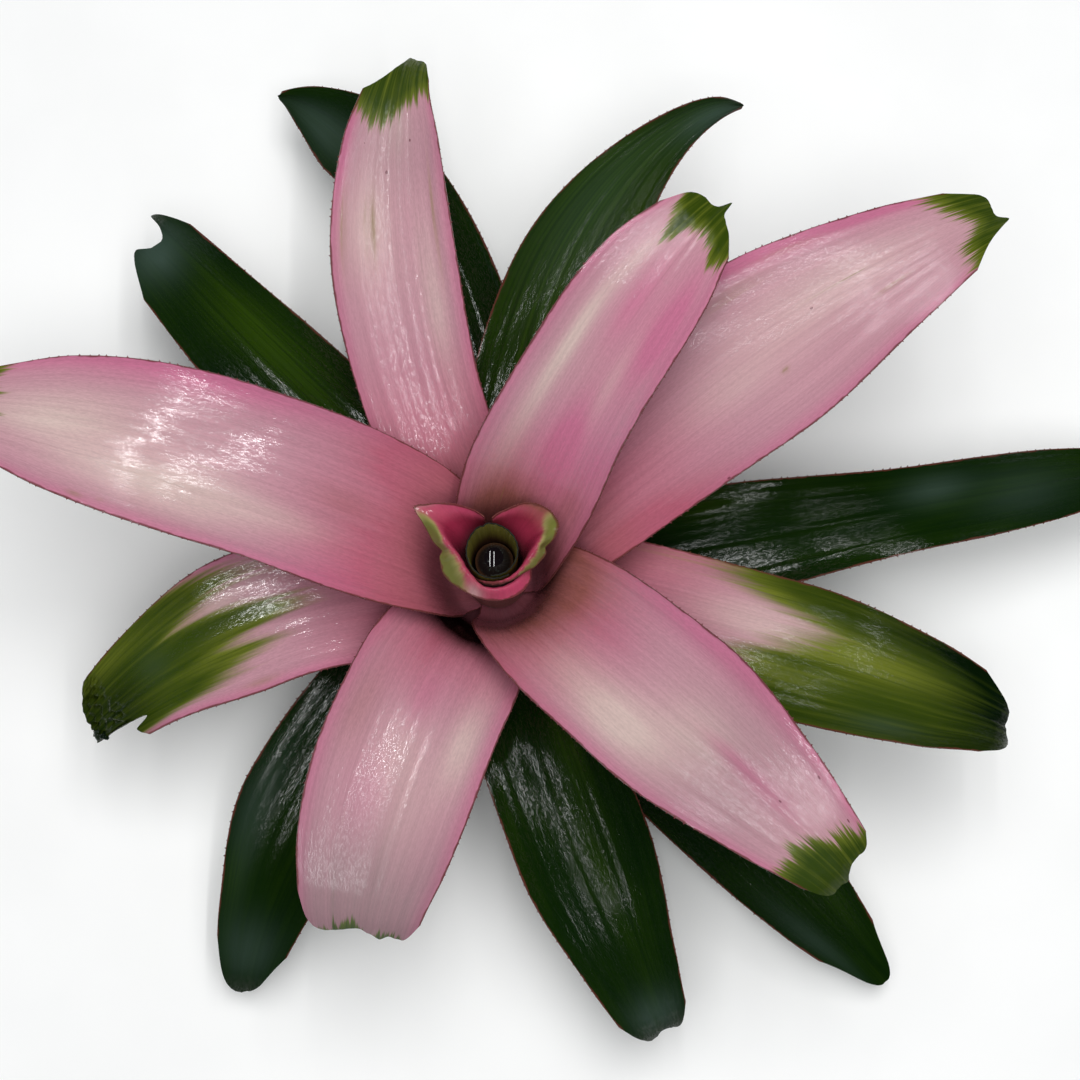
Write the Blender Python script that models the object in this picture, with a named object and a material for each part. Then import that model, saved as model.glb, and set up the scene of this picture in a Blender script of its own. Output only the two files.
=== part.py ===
"""A neoregelia bromeliad, as picked, standing on its cut stem.

Fifteen strap leaves leave a short stem in a rising spiral, each inside the next. Every
leaf starts as a sheath round the middle, bends outwards and then arches down to a small
hooked tip. Two short bracts and a rolled leaf make the tube in the middle, which holds
water. Sizes are in metres and angles in degrees. The origin is on the cut face, under
the middle of the plant, and +Y is the top of the plant as seen from above.
"""

import math
from typing import NamedTuple

import bmesh
import bpy
import numpy as np

# Stem
STEM_FOOT_RADIUS = 0.017
STEM_FOOT_SHIFT = 0.004  # the foot leans towards +X and +Y, under the plant's weight
STEM_NECK_HEIGHT = 0.0095
STEM_TOP_HEIGHT = 0.038
STEM_TOP_RADIUS = 0.0035
STEM_BUD_RADIUS = 0.0019
STEM_BUD_HEIGHT = 0.002
STEM_SIDES = 28

# How the leaves sit on the stem, counted from the tube leaf outwards
LAYER_DROP = 0.0016
LAYER_WIDEN = 0.00072
LEAF_STAND_OFF = 0.0009
ATTACH_PITCH = 45.0
STEEPEST_SHEATH = 86.0
SHEATH_SLACK = 2.4  # each layer further out is this much less steep
FLARE_START = 0.002
FLARE_STEP = 0.0006
FLARE_LENGTH = 0.012
BEND_LENGTH = 0.0055
FIRST_LEAF_LAYER = 3

# Blades; a place along a leaf is a share of its length unless its name says length
ATTACH_WIDTH = 0.024
SHEATH_WIDTH = 0.042
WIDTH_STATIONS = (0.0, 0.08, 0.30, 0.55, 0.80, 0.92, 1.0)
DROOP_POWER = 1.6
HOOK_START = 0.86
TROUGH_ANGLE = 24.0  # half the arc that a blade makes across
TROUGH_START = 0.2
TROUGH_FULL = 0.5
FLATTEST_BOW = 0.02
ROLL_START = 0.3
WAVE_START = 0.3
WAVE_FULL = 0.7
WAVE_LENGTH = 0.062
WAVE_LAG = 2.0  # radians between the middle and an edge
WAVE_POWER = 3
WIDEST_WRAP = 2.6
FREE_BEFORE_BEND = 0.014  # a length: where the sheath starts to open into the blade
FREE_LENGTH = 0.030
MIDDLE_THICKNESS = 0.0011
EDGE_THICKNESS = 0.0007
BLADE_ROWS = 22
ROW_CROWDING = 1.2
PATH_POINTS = 400

# Marginal spines
SPINE_HEIGHT = 0.0010
SPINE_FOOT = 0.45
SPINE_LEAN = 0.80
FIRST_SPINED_ROW = 4
BARE_END_ROWS = 2

# Tube and bracts
MIDDLE_LEAN = (-0.0003, 0.0018)
MIDDLE_LEAN_START = 0.045
MIDDLE_LEAN_LENGTH = 0.045
CUP_THICKNESS = 0.0008
CUP_ROWS = 11
WATER_SURFACE = 0.074
WATER_BOTTOM = 0.0425
WATER_GAP = 0.0004
WATER_RINGS = 5
WATER_SIDES = 24


class Leaf(NamedTuple):
    """One strap leaf; widths are across the flattened blade."""

    name: str
    azimuth: float  # heading at the stem, anticlockwise from +X
    turn: float  # change of heading from bend to tip
    late: float  # 1 turns evenly, 2 turns mostly near the tip
    length: float  # along the midline, sheath and all
    bend: float  # length of the sheath up to the bend
    pitch: float  # slope of the blade past the bend
    droop: float  # slope lost by the tip
    hook: float  # extra slope lost at the very end
    neck: float  # widths at the stations
    middle: float
    far: float
    end: float
    roll: float  # twist at the tip, left edge up
    wave: float  # height of the ripple along the edges


LEAVES = (
    Leaf("pink_leaf_1", 63.5, -18, 1, 0.178, 0.050, 35, 30, 45, 0.050, 0.046, 0.040, 0.027, 0, 0.0006),
    Leaf("pink_leaf_2", 317.5, 0, 1, 0.190, 0.048, 28, 44, 45, 0.054, 0.058, 0.041, 0.028, 0, 0.0005),
    Leaf("pink_leaf_3", 160, 12, 1, 0.216, 0.046, 24, 36, 30, 0.056, 0.058, 0.046, 0.030, 0, 0.0006),
    Leaf("pink_leaf_4", 39.8, -13, 1, 0.234, 0.044, 22, 32, 30, 0.055, 0.064, 0.041, 0.027, 0, 0.0008),
    Leaf("pink_leaf_5", 243, 19, 1, 0.151, 0.043, 20, 34, 50, 0.055, 0.058, 0.051, 0.041, 0, 0.0005),
    Leaf("pink_leaf_6", 115, -37, 1, 0.205, 0.041, 18, 28, 40, 0.041, 0.045, 0.034, 0.021, 0, 0.0006),
    Leaf("pink_leaf_7", 344, -2, 1, 0.200, 0.039, 14, 34, 45, 0.048, 0.048, 0.037, 0.025, 0, 0.0007),
    Leaf("pink_leaf_8", 187.5, 36, 1, 0.162, 0.037, 12, 40, 20, 0.050, 0.050, 0.036, 0.028, 0, 0.0008),
    Leaf("green_leaf_1", 78.5, -60, 2, 0.209, 0.035, 12, 20, 40, 0.046, 0.042, 0.019, 0.009, 20, 0.0010),
    Leaf("green_leaf_2", 286, 11, 1, 0.175, 0.033, 8, 34, 45, 0.047, 0.048, 0.033, 0.024, 0, 0.0008),
    Leaf("green_leaf_3", 138, -7, 1, 0.189, 0.031, 7, 22, 40, 0.046, 0.042, 0.034, 0.029, -10, 0.0012),
    Leaf("green_leaf_4", 9, 3, 1, 0.243, 0.029, 6, 20, 10, 0.042, 0.032, 0.026, 0.018, 15, 0.0014),
    Leaf("green_leaf_5", 224.5, 36, 1, 0.172, 0.027, 3, 26, 40, 0.046, 0.048, 0.031, 0.022, 0, 0.0010),
    Leaf("green_leaf_6", 93, 61, 1.4, 0.211, 0.025, 4, 14, 20, 0.036, 0.033, 0.033, 0.018, -15, 0.0012),
    Leaf("green_leaf_7", 315, -1, 1, 0.188, 0.023, 0, 14, 10, 0.044, 0.042, 0.031, 0.021, 0, 0.0008),
)

# How each leaf ends: the share of its last width that it keeps, and then, at places across from
# its right margin to its left one, how much shorter it is there, as a share of its length
HORN = ((-1, 0.085), (-0.75, 0.045), (-0.35, 0.022), (-0.13, 0.015), (0, 0), (0.13, 0.015), (0.4, 0.022),
        (0.78, 0.045), (1, 0.085))
BLUNT = ((-1, 0.085), (-0.6, 0.035), (0, 0), (0.6, 0.035), (1, 0.085))
POINT = ((-1, 0.010), (-0.5, 0.004), (0, 0), (0.5, 0.004), (1, 0.010))
ENDS = {
    "pink_leaf_1": (0.80, ((-1, 0.105), (-0.74, 0.072), (-0.42, 0.050), (-0.24, 0.034), (-0.15, 0), (0.02, 0.034),
                           (0.5, 0.042), (0.82, 0.062), (1, 0.105))),
    "pink_leaf_2": (0.80, ((-1, 0.085), (-0.9, 0.045), (-0.62, 0.012), (-0.35, 0.012), (-0.1, 0), (0.15, 0.026),
                           (0.5, 0.035), (0.8, 0.037), (1, 0.066))),
    "pink_leaf_3": (0.80, HORN),
    "pink_leaf_4": (0.80, ((-1, 0.110), (-0.57, 0.060), (-0.32, 0.020), (-0.18, 0), (-0.02, 0.021), (0.2, 0.027),
                           (0.5, 0.025), (0.74, 0.038), (1, 0.093))),
    "pink_leaf_5": (0.85, ((-1, 0.105), (-0.88, 0.046), (-0.5, 0.014), (-0.05, 0.028), (0.25, 0.014), (0.4, 0),
                           (0.56, 0.025), (0.8, 0.022), (1, 0.080))),
    "pink_leaf_6": (0.85, ((-1, 0.070), (-0.8, 0.022), (-0.4, 0.008), (-0.07, 0), (0.1, 0.034), (0.3, 0.058),
                           (0.65, 0.088), (1, 0.110))),
    "pink_leaf_7": (0.85, ((-1, 0.086), (-0.77, 0.028), (-0.47, 0), (-0.25, 0.022), (-0.05, 0.032), (0.2, 0.035),
                           (0.4, 0.038), (0.66, 0.066), (1, 0.118))),
    "pink_leaf_8": (0.80, ((-1, 0.08), (-0.6, 0.03), (-0.2, 0.015), (0.15, 0), (0.38, 0.01), (0.5, 0.10),
                           (0.6, 0.15), (0.76, 0.11), (1, 0.13))),
    "green_leaf_1": (0.15, POINT),
    "green_leaf_2": (0.85, ((-1, 0.10), (-0.73, 0.044), (-0.4, 0), (0.2, 0.022), (0.62, 0.004), (1, 0.08))),
    "green_leaf_3": (0.90, ((-1, 0.12), (-0.84, 0.07), (-0.58, 0), (-0.45, 0.065), (0.05, 0.085), (0.42, 0.058),
                            (0.62, 0.08), (1, 0.16))),
    "green_leaf_4": (0.80, BLUNT),
    "green_leaf_5": (0.85, ((-1, 0.14), (-0.8, 0.05), (-0.33, 0), (0.37, 0.03), (0.6, 0.06), (1, 0.13))),
    "green_leaf_6": (0.10, POINT),
    "green_leaf_7": (0.80, ((-1, 0.13), (-0.6, 0.035), (0, 0), (0.6, 0.025), (1, 0.11))),
}
END_REACH = 0.3  # share of the length over which the cuts grow
CROWD_START = 0.5  # from here the columns of the grid move from even places to the end's
CROWD_LENGTH = 0.3


class Cup(NamedTuple):
    """A leaf round the middle: rings up to its throat, then a fold and a lip that differ by angle."""

    name: str
    rings: tuple  # (radius, height) from the base up, the same all round
    ribs: tuple  # (angle, fold radius, fold height, lip radius, lip height)
    spiral: float  # how much wider the rings are at the last angle than at the first
    columns: int
    toothed: bool


TUBE_LEAF = Cup(
    "tube_leaf",
    ((0.0046, 0.038), (0.0063, 0.046), (0.0069, 0.062)),
    (
        (-95, 0.0074, 0.080, 0.0080, 0.0910),
        (-20, 0.0076, 0.080, 0.0082, 0.0925),
        (60, 0.0079, 0.080, 0.0084, 0.0940),
        (110, 0.0081, 0.080, 0.0086, 0.0970),
        (160, 0.0082, 0.080, 0.0087, 0.0940),
        (240, 0.0085, 0.080, 0.0090, 0.0925),
        (305, 0.0087, 0.080, 0.0092, 0.0910),
    ),
    0.0011,
    21,
    False,
)
INNER_BRACT = Cup(
    "inner_bract",
    ((0.0054, 0.0364), (0.0086, 0.045), (0.0096, 0.062), (0.0104, 0.078)),
    (
        (-103, 0.0104, 0.0900, 0.0109, 0.0910),
        (-62, 0.0105, 0.0915, 0.0113, 0.0922),
        (-37, 0.0108, 0.0923, 0.0124, 0.0915),
        (-15, 0.0116, 0.0928, 0.0154, 0.0902),
        (0, 0.0130, 0.0930, 0.0180, 0.0896),
        (14, 0.0155, 0.0926, 0.0214, 0.0910),
        (24, 0.0165, 0.0885, 0.0237, 0.0924),
        (40, 0.0165, 0.0875, 0.0226, 0.0930),
        (55, 0.0150, 0.0875, 0.0198, 0.0925),
        (70, 0.0130, 0.0875, 0.0155, 0.0915),
        (92, 0.0110, 0.0870, 0.0116, 0.0900),
    ),
    0.0,
    21,
    True,
)
OUTER_BRACT = Cup(
    "outer_bract",
    ((0.0063, 0.0350), (0.0102, 0.045), (0.0112, 0.062), (0.0119, 0.078)),
    (
        (104, 0.0120, 0.0860, 0.0123, 0.0900),
        (120, 0.0140, 0.0870, 0.0170, 0.0916),
        (136, 0.0170, 0.0880, 0.0236, 0.0932),
        (148, 0.0186, 0.0895, 0.0286, 0.0935),
        (157, 0.0180, 0.0925, 0.0284, 0.0915),
        (168, 0.0154, 0.0935, 0.0208, 0.0900),
        (182, 0.0124, 0.0934, 0.0182, 0.0890),
        (205, 0.0108, 0.0926, 0.0178, 0.0882),
        (230, 0.0109, 0.0916, 0.0160, 0.0874),
        (254, 0.0122, 0.0904, 0.0156, 0.0868),
        (280, 0.0130, 0.0894, 0.0158, 0.0866),
        (300, 0.0130, 0.0886, 0.0158, 0.0864),
        (320, 0.0128, 0.0876, 0.0146, 0.0862),
    ),
    0.0,
    25,
    True,
)

# Colours, roughness
PINK = (0.52, 0.27, 0.35)
PINK_AND_GREEN = (0.36, 0.30, 0.16)
GREEN = (0.03, 0.09, 0.02)
BRACT_PINK = (0.42, 0.09, 0.16)
TUBE_GREEN = (0.20, 0.18, 0.06)
WATER_DARK = (0.02, 0.015, 0.02)
STEM_BROWN = (0.20, 0.13, 0.07)
LEAF_ROUGHNESS = 0.32
GREEN_ROUGHNESS = 0.28
WATER_ROUGHNESS = 0.04
STEM_ROUGHNESS = 0.85
PARTLY_GREEN_LEAVES = ("pink_leaf_7", "pink_leaf_8")


def smooth(x):
    """0 below 0, 1 above 1, and an even S-curve between."""
    x = np.clip(x, 0.0, 1.0)
    return x * x * (3 - 2 * x)


def through(stations, values, x):
    """The curve through the values at the stations that never overshoots them."""
    stations, values = np.asarray(stations, float), np.asarray(values, float)
    gaps = np.diff(stations)
    slopes = np.diff(values) / gaps
    ends = np.concatenate([slopes[:1], (slopes[:-1] + slopes[1:]) / 2, slopes[-1:]])
    ends[1:-1] = np.where(slopes[:-1] * slopes[1:] <= 0, 0, ends[1:-1])
    i = np.clip(np.searchsorted(stations, x, "right") - 1, 0, len(gaps) - 1)
    t = (x - stations[i]) / gaps[i]
    start = (1 + 2 * t) * (1 - t) ** 2 * values[i] + t * (1 - t) ** 2 * gaps[i] * ends[i]
    finish = t * t * (3 - 2 * t) * values[i + 1] + t * t * (t - 1) * gaps[i] * ends[i + 1]
    return start + finish


def stem_radius(height):
    """Radius of the stem's cone at a height between its neck and its top."""
    return STEM_TOP_RADIUS + (STEM_TOP_HEIGHT - height) / LAYER_DROP * LAYER_WIDEN


def headings(leaf, layer, s):
    """Pitch and yaw in radians along the midline: up the sheath, over the bend, down to the tip."""
    steep = STEEPEST_SHEATH - SHEATH_SLACK * layer
    flare = smooth((s - FLARE_START - FLARE_STEP * layer) / FLARE_LENGTH)
    rise = ATTACH_PITCH + (steep - ATTACH_PITCH) * flare
    past = 1 / (1 + np.exp(-(s - leaf.bend) / BEND_LENGTH))
    u = np.clip((s - leaf.bend) / (leaf.length - leaf.bend), 0, 1)
    blade = leaf.pitch - leaf.droop * u**DROOP_POWER
    hook = leaf.hook * smooth((s / leaf.length - HOOK_START) / (1 - HOOK_START))
    pitch = rise * (1 - past) + blade * past - hook
    yaw = leaf.azimuth + leaf.turn * u**leaf.late
    return np.radians(pitch), np.radians(yaw)


def direction(pitch, yaw):
    """Unit vectors along headings."""
    return np.stack([np.cos(pitch) * np.cos(yaw), np.cos(pitch) * np.sin(yaw), np.sin(pitch)], -1)


def midline(leaf, layer, s):
    """Points of the midline at lengths s: the headings added up from the stem outwards."""
    path = np.linspace(0, leaf.length, PATH_POINTS)
    ahead = direction(*headings(leaf, layer, path))
    steps = (ahead[1:] + ahead[:-1]) / 2 * (path[1] - path[0])
    height = STEM_TOP_HEIGHT - LAYER_DROP * layer
    radius = stem_radius(height) + LEAF_STAND_OFF
    angle = math.radians(leaf.azimuth)
    start = np.array([[radius * math.cos(angle), radius * math.sin(angle), height]])
    points = np.concatenate([start, start + np.cumsum(steps, 0)])
    return np.stack([np.interp(s, path, points[:, axis]) for axis in range(3)], -1)


def half_width(leaf, t):
    """Half the width at shares t of the length."""
    last = leaf.end * ENDS[leaf.name][0]
    widths = (ATTACH_WIDTH, SHEATH_WIDTH, leaf.neck, leaf.middle, leaf.far, leaf.end, last)
    return through(WIDTH_STATIONS, widths, t) / 2


def leaf_grid(leaf, rows):
    """Places along (t) and across (v) of the leaf's vertices, with its rows cut short at its end.

    The columns are even at the sheath and move to the places across that shape the end.
    """
    t = 1 - (1 - np.linspace(0, 1, rows)[:, None]) ** ROW_CROWDING
    places, cuts = zip(*ENDS[leaf.name][1])
    even = np.linspace(-1, 1, len(places))[None]
    v = even + (np.array([places]) - even) * smooth((t - CROWD_START) / CROWD_LENGTH)
    return t - through(places, cuts, v) * np.clip((t - 1 + END_REACH) / END_REACH, 0, 1), v


def blade_surface(leaf, layer, t, v):
    """Points of the leaf's middle surface: rings of a cone at the sheath, troughs along the blade."""
    s = t * leaf.length
    points = midline(leaf, layer, s)
    pitch, yaw = headings(leaf, layer, s)
    ahead = direction(pitch, yaw)
    left = np.stack([-np.sin(yaw), np.cos(yaw), 0 * yaw], -1)
    up = np.cross(ahead, left)
    roll = np.radians(leaf.roll) * smooth((t - ROLL_START) / (1 - ROLL_START))[..., None]
    left, up = left * np.cos(roll) + up * np.sin(roll), up * np.cos(roll) - left * np.sin(roll)
    half = half_width(leaf, t)
    radius = np.hypot(points[..., 0], points[..., 1])
    wrap = half * np.sin(np.maximum(pitch, 0)) / radius
    opened = smooth((t - TROUGH_START) / (TROUGH_FULL - TROUGH_START))
    trough = np.radians(TROUGH_ANGLE) * opened * half / (leaf.middle / 2)
    bow = np.maximum(wrap + trough, FLATTEST_BOW)
    across = half * np.sin(bow * v) / bow
    ripple = leaf.wave * smooth((t - WAVE_START) / (WAVE_FULL - WAVE_START)) * np.abs(v) ** WAVE_POWER
    rise = half * (1 - np.cos(bow * v)) / bow + ripple * np.sin(2 * np.pi * s / WAVE_LENGTH + WAVE_LAG * v)
    blade = points + left * across[..., None] + up * rise[..., None]
    angle = np.radians(leaf.azimuth) + v * np.minimum(half / radius, WIDEST_WRAP)
    sheath = np.stack([radius * np.cos(angle), radius * np.sin(angle), points[..., 2]], -1)
    free = smooth((s - leaf.bend + FREE_BEFORE_BEND) / FREE_LENGTH)[..., None]
    return sheath * (1 - free) + blade * free


def leaning(height):
    """How far along the middle's lean a height is, as (x, y)."""
    share = smooth((height - MIDDLE_LEAN_START) / MIDDLE_LEAN_LENGTH)
    return MIDDLE_LEAN[0] * share, MIDDLE_LEAN[1] * share


def cup_surface(cup, rows, columns):
    """A cup leaf's middle surface: a smooth curve from base to lip, swept round the leaning middle."""
    angles, *edges = zip(*cup.ribs)
    angle = np.linspace(angles[0], angles[-1], columns)
    fold_radius, fold_height, lip_radius, lip_height = (through(angles, edge, angle) for edge in edges)
    widening = cup.spiral * np.linspace(0, 1, columns)
    rings = [(np.full(columns, radius), np.full(columns, height)) for radius, height in cup.rings]
    rings = rings[:1] + [(radius + widening, height) for radius, height in rings[1:]]
    knots = np.array([*rings, (fold_radius, fold_height), (lip_radius, lip_height)])
    slopes = np.gradient(knots, axis=0)
    place = np.linspace(0, len(knots) - 1, rows)
    i = np.clip(place.astype(int), 0, len(knots) - 2)
    t = (place - i)[:, None, None]
    start = (1 + 2 * t) * (1 - t) ** 2 * knots[i] + t * (1 - t) ** 2 * slopes[i]
    finish = t * t * (3 - 2 * t) * knots[i + 1] + t * t * (t - 1) * slopes[i + 1]
    radius, height = np.moveaxis(start + finish, 1, 0)
    east, north = leaning(height)
    angle = np.radians(angle)
    return np.stack([radius * np.cos(angle) + east, radius * np.sin(angle) + north, height], -1)


def two_faces(grid, thickness):
    """The upper and lower face of a sheet, half its thickness to each side of the middle surface."""
    normal = np.cross(np.gradient(grid, axis=0), np.gradient(grid, axis=1))
    normal /= np.linalg.norm(normal, axis=-1, keepdims=True)
    offset = normal * np.asarray(thickness)[..., None] / 2
    return grid + offset, grid - offset


def sheet_solid(upper, lower, spined_rows, spined_edges):
    """Vertices and triangles of the closed sheet, with a spine in the given rows of the given edges.

    An edge is a column of the grid: 0 is the left one, and the last is the right one.
    """
    rows, columns = upper.shape[:2]
    vertices = [*upper.reshape(-1, 3), *lower.reshape(-1, 3)]
    below = rows * columns
    faces = []

    def spine(row, edge, inner):
        """A tooth that leans forwards, between two rows of one edge: its foot and point, up and low."""
        foot, point = [], []
        for sheet in (upper, lower):
            start, end = sheet[row, edge], sheet[row + 1, edge]
            outward = (start + end - sheet[row, inner] - sheet[row + 1, inner]) / 2
            outward /= np.linalg.norm(outward)
            foot.append(start * (1 - SPINE_FOOT) + end * SPINE_FOOT)
            point.append(start * (1 - SPINE_LEAN) + end * SPINE_LEAN + outward * SPINE_HEIGHT)
        first = len(vertices)
        vertices.extend([*foot, *point])
        return (first, first + 1), (first + 2, first + 3)

    def cell(triangles, pairs):
        """The triangles of one cell on the upper face, and the same ones turned over on the lower."""
        for triangle in triangles:
            faces.append(tuple(pairs[corner][0] for corner in triangle))
            faces.append(tuple(pairs[corner][1] for corner in reversed(triangle)))

    def rim(path):
        """A wall of two triangles for each step of a path of (upper, lower) vertices."""
        for (a_up, a_low), (b_up, b_low) in zip(path, path[1:]):
            faces.extend([(a_up, b_up, b_low), (a_up, b_low, a_low)])

    for row in range(rows - 1):
        for column in range(columns - 1):
            a = row * columns + column
            corners = {"a": a, "b": a + columns, "c": a + columns + 1, "d": a + 1}
            pairs = {name: (vertex, vertex + below) for name, vertex in corners.items()}
            left, right = column == 0, column == columns - 2
            edge, inner = (0, 1) if left else (columns - 1, columns - 2)
            if row in spined_rows and (left or right) and edge in spined_edges:
                pairs["f"], pairs["p"] = spine(row, edge, inner)
                cell(("bcd", "fbd", "afd", "fpb") if left else ("abc", "acf", "afd", "fcp"), pairs)
                path = [pairs[name] for name in ("bpfa" if left else "dfpc")]
            else:
                cell(("abc", "acd"), pairs)
                path = [pairs[name] for name in ("ba" if left else "dc")]
            if left or right:
                rim(path)
    for column in range(columns - 1):
        first, last = column, (rows - 1) * columns + column
        rim([(first, first + below), (first + 1, first + 1 + below)])
        rim([(last + 1, last + 1 + below), (last, last + below)])
    return vertices, faces


def material(name, colour, roughness):
    """A plain Principled material."""
    made = bpy.data.materials.new(name)
    made.use_nodes = True
    shader = made.node_tree.nodes["Principled BSDF"]
    shader.inputs["Base Color"].default_value = (*colour, 1)
    shader.inputs["Roughness"].default_value = roughness
    return made


def add_object(name, vertices, faces, colour, roughness, crease=40):
    """One closed, outward, smooth-shaded object in the scene."""
    mesh = bpy.data.meshes.new(name)
    mesh.from_pydata([tuple(float(x) for x in vertex) for vertex in vertices], [], faces)
    shape = bmesh.new()
    shape.from_mesh(mesh)
    bmesh.ops.recalc_face_normals(shape, faces=shape.faces)
    shape.to_mesh(mesh)
    shape.free()
    mesh.shade_smooth()
    mesh.set_sharp_from_angle(angle=math.radians(crease))
    mesh.materials.append(material(name, colour, roughness))
    made = bpy.data.objects.new(name, mesh)
    bpy.context.collection.objects.link(made)
    return made


def make_leaf(leaf, layer):
    """One strap leaf with spines along both margins, from above its sheath to near its tip."""
    t, v = leaf_grid(leaf, BLADE_ROWS)
    grid = blade_surface(leaf, layer, t, v)
    columns = grid.shape[1]
    upper, lower = two_faces(grid, EDGE_THICKNESS + (MIDDLE_THICKNESS - EDGE_THICKNESS) * (1 - v**2))
    spined_rows = range(FIRST_SPINED_ROW, BLADE_ROWS - BARE_END_ROWS)
    vertices, faces = sheet_solid(upper, lower, spined_rows, (0, columns - 1))
    if leaf.name in PARTLY_GREEN_LEAVES:
        colour, roughness = PINK_AND_GREEN, LEAF_ROUGHNESS
    elif leaf.name.startswith("pink"):
        colour, roughness = PINK, LEAF_ROUGHNESS
    else:
        colour, roughness = GREEN, GREEN_ROUGHNESS
    return add_object(leaf.name, vertices, faces, colour, roughness)


def make_cup(cup, colour):
    """A bract or the tube leaf: a thin sheet wrapped round the middle, with any teeth along its lip."""
    grid = cup_surface(cup, CUP_ROWS, cup.columns)
    upper, lower = two_faces(grid, np.full(grid.shape[:2], CUP_THICKNESS))
    lip = CUP_ROWS - 1
    spined_rows = range(cup.columns - 1) if cup.toothed else ()
    vertices, faces = sheet_solid(upper.swapaxes(0, 1), lower.swapaxes(0, 1), spined_rows, (lip,))
    return add_object(cup.name, vertices, faces, colour, LEAF_ROUGHNESS)


def stacked_rings(rings, sides):
    """Vertices and faces of a closed stack of rings, each (x, y, radius, z)."""
    angle = np.linspace(0, 2 * np.pi, sides, endpoint=False)
    vertices = [(x + r * math.cos(a), y + r * math.sin(a), z) for x, y, r, z in rings for a in angle]
    faces = [tuple(reversed(range(sides))), tuple(range((len(rings) - 1) * sides, len(rings) * sides))]
    for ring in range(len(rings) - 1):
        for side in range(sides):
            a, b = ring * sides + side, ring * sides + (side + 1) % sides
            faces.append((a, b, b + sides, a + sides))
    return vertices, faces


def make_stem():
    """The short stem: a cut foot that leans a little, and a cone that the leaves leave from."""
    shift = STEM_FOOT_SHIFT
    neck = stem_radius(STEM_NECK_HEIGHT)
    rings = [
        (shift, shift, STEM_FOOT_RADIUS, 0.0),
        (shift / 2, shift / 2, (STEM_FOOT_RADIUS + neck) / 2, STEM_NECK_HEIGHT / 2),
        (0.0, 0.0, neck, STEM_NECK_HEIGHT),
        (0.0, 0.0, STEM_TOP_RADIUS, STEM_TOP_HEIGHT),
        (0.0, 0.0, STEM_BUD_RADIUS, STEM_TOP_HEIGHT + STEM_BUD_HEIGHT),
    ]
    return add_object("stem", *stacked_rings(rings, STEM_SIDES), STEM_BROWN, STEM_ROUGHNESS)


def make_water():
    """The water that stands in the tube, clear of its wall."""
    walls = [*TUBE_LEAF.rings, TUBE_LEAF.ribs[0][1:3]]
    radii, heights = zip(*walls)
    rings = []
    for height in np.linspace(WATER_BOTTOM, WATER_SURFACE, WATER_RINGS):
        radius = through(heights, radii, height) - CUP_THICKNESS / 2 - WATER_GAP
        rings.append((*leaning(height), radius, height))
    return add_object("water", *stacked_rings(rings, WATER_SIDES), WATER_DARK, WATER_ROUGHNESS)


def main():
    for old in list(bpy.data.objects):
        bpy.data.objects.remove(old, do_unlink=True)
    make_stem()
    make_cup(TUBE_LEAF, TUBE_GREEN)
    make_cup(INNER_BRACT, BRACT_PINK)
    make_cup(OUTER_BRACT, BRACT_PINK)
    make_water()
    for number, leaf in enumerate(LEAVES):
        make_leaf(leaf, FIRST_LEAF_LAYER + number)


main()
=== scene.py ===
"""A neoregelia bromeliad seen from above: fine leaves, bracts, tube, water and stem.

Every leaf is one surface worked out from its midline, its widths and the trough across it,
in the same shapes as the frame's plain solids. Lengths are in metres, angles in degrees. A
place on a leaf is t, its share of the length from stem to tip, and v, which runs from -1 at
the right margin to 1 at the left one as seen from the stem.
"""

import math
from typing import NamedTuple

import bpy
import numpy as np
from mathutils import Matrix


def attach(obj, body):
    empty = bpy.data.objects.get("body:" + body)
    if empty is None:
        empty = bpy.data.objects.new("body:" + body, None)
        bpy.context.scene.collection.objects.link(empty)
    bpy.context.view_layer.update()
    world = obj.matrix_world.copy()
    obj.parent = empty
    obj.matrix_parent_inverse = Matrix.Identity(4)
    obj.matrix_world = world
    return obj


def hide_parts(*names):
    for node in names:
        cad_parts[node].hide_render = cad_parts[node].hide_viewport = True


bl_info = {
    "name": "Neoregelia Bromeliad",
    "version": (1, 0, 0),
    "blender": (4, 5, 0),
    "location": "View3D > Sidebar > Bromeliad",
    "description": "Builds the leaves, bracts, water and stem of a neoregelia bromeliad",
    "category": "Add Mesh",
}

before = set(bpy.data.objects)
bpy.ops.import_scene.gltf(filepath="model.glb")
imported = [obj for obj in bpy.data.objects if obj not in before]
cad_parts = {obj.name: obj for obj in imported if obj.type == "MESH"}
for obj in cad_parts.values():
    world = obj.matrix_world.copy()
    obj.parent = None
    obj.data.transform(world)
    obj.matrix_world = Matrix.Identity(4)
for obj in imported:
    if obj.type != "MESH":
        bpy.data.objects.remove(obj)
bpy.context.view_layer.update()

# How the leaves sit on the stem, counted from the tube leaf outwards
STEM_TOP_HEIGHT = 0.038
STEM_TOP_RADIUS = 0.0035
STEM_NECK_HEIGHT = 0.0095
STEM_FOOT_RADIUS = 0.017
STEM_FOOT_SHIFT = 0.004
LAYER_DROP = 0.0016
LAYER_WIDEN = 0.00072
LEAF_STAND_OFF = 0.0009
ATTACH_PITCH = 45.0
STEEPEST_SHEATH = 86.0
SHEATH_SLACK = 2.4
FLARE_START = 0.002
FLARE_STEP = 0.0006
FLARE_LENGTH = 0.012
BEND_LENGTH = 0.0055
FIRST_LEAF_LAYER = 3

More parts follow.
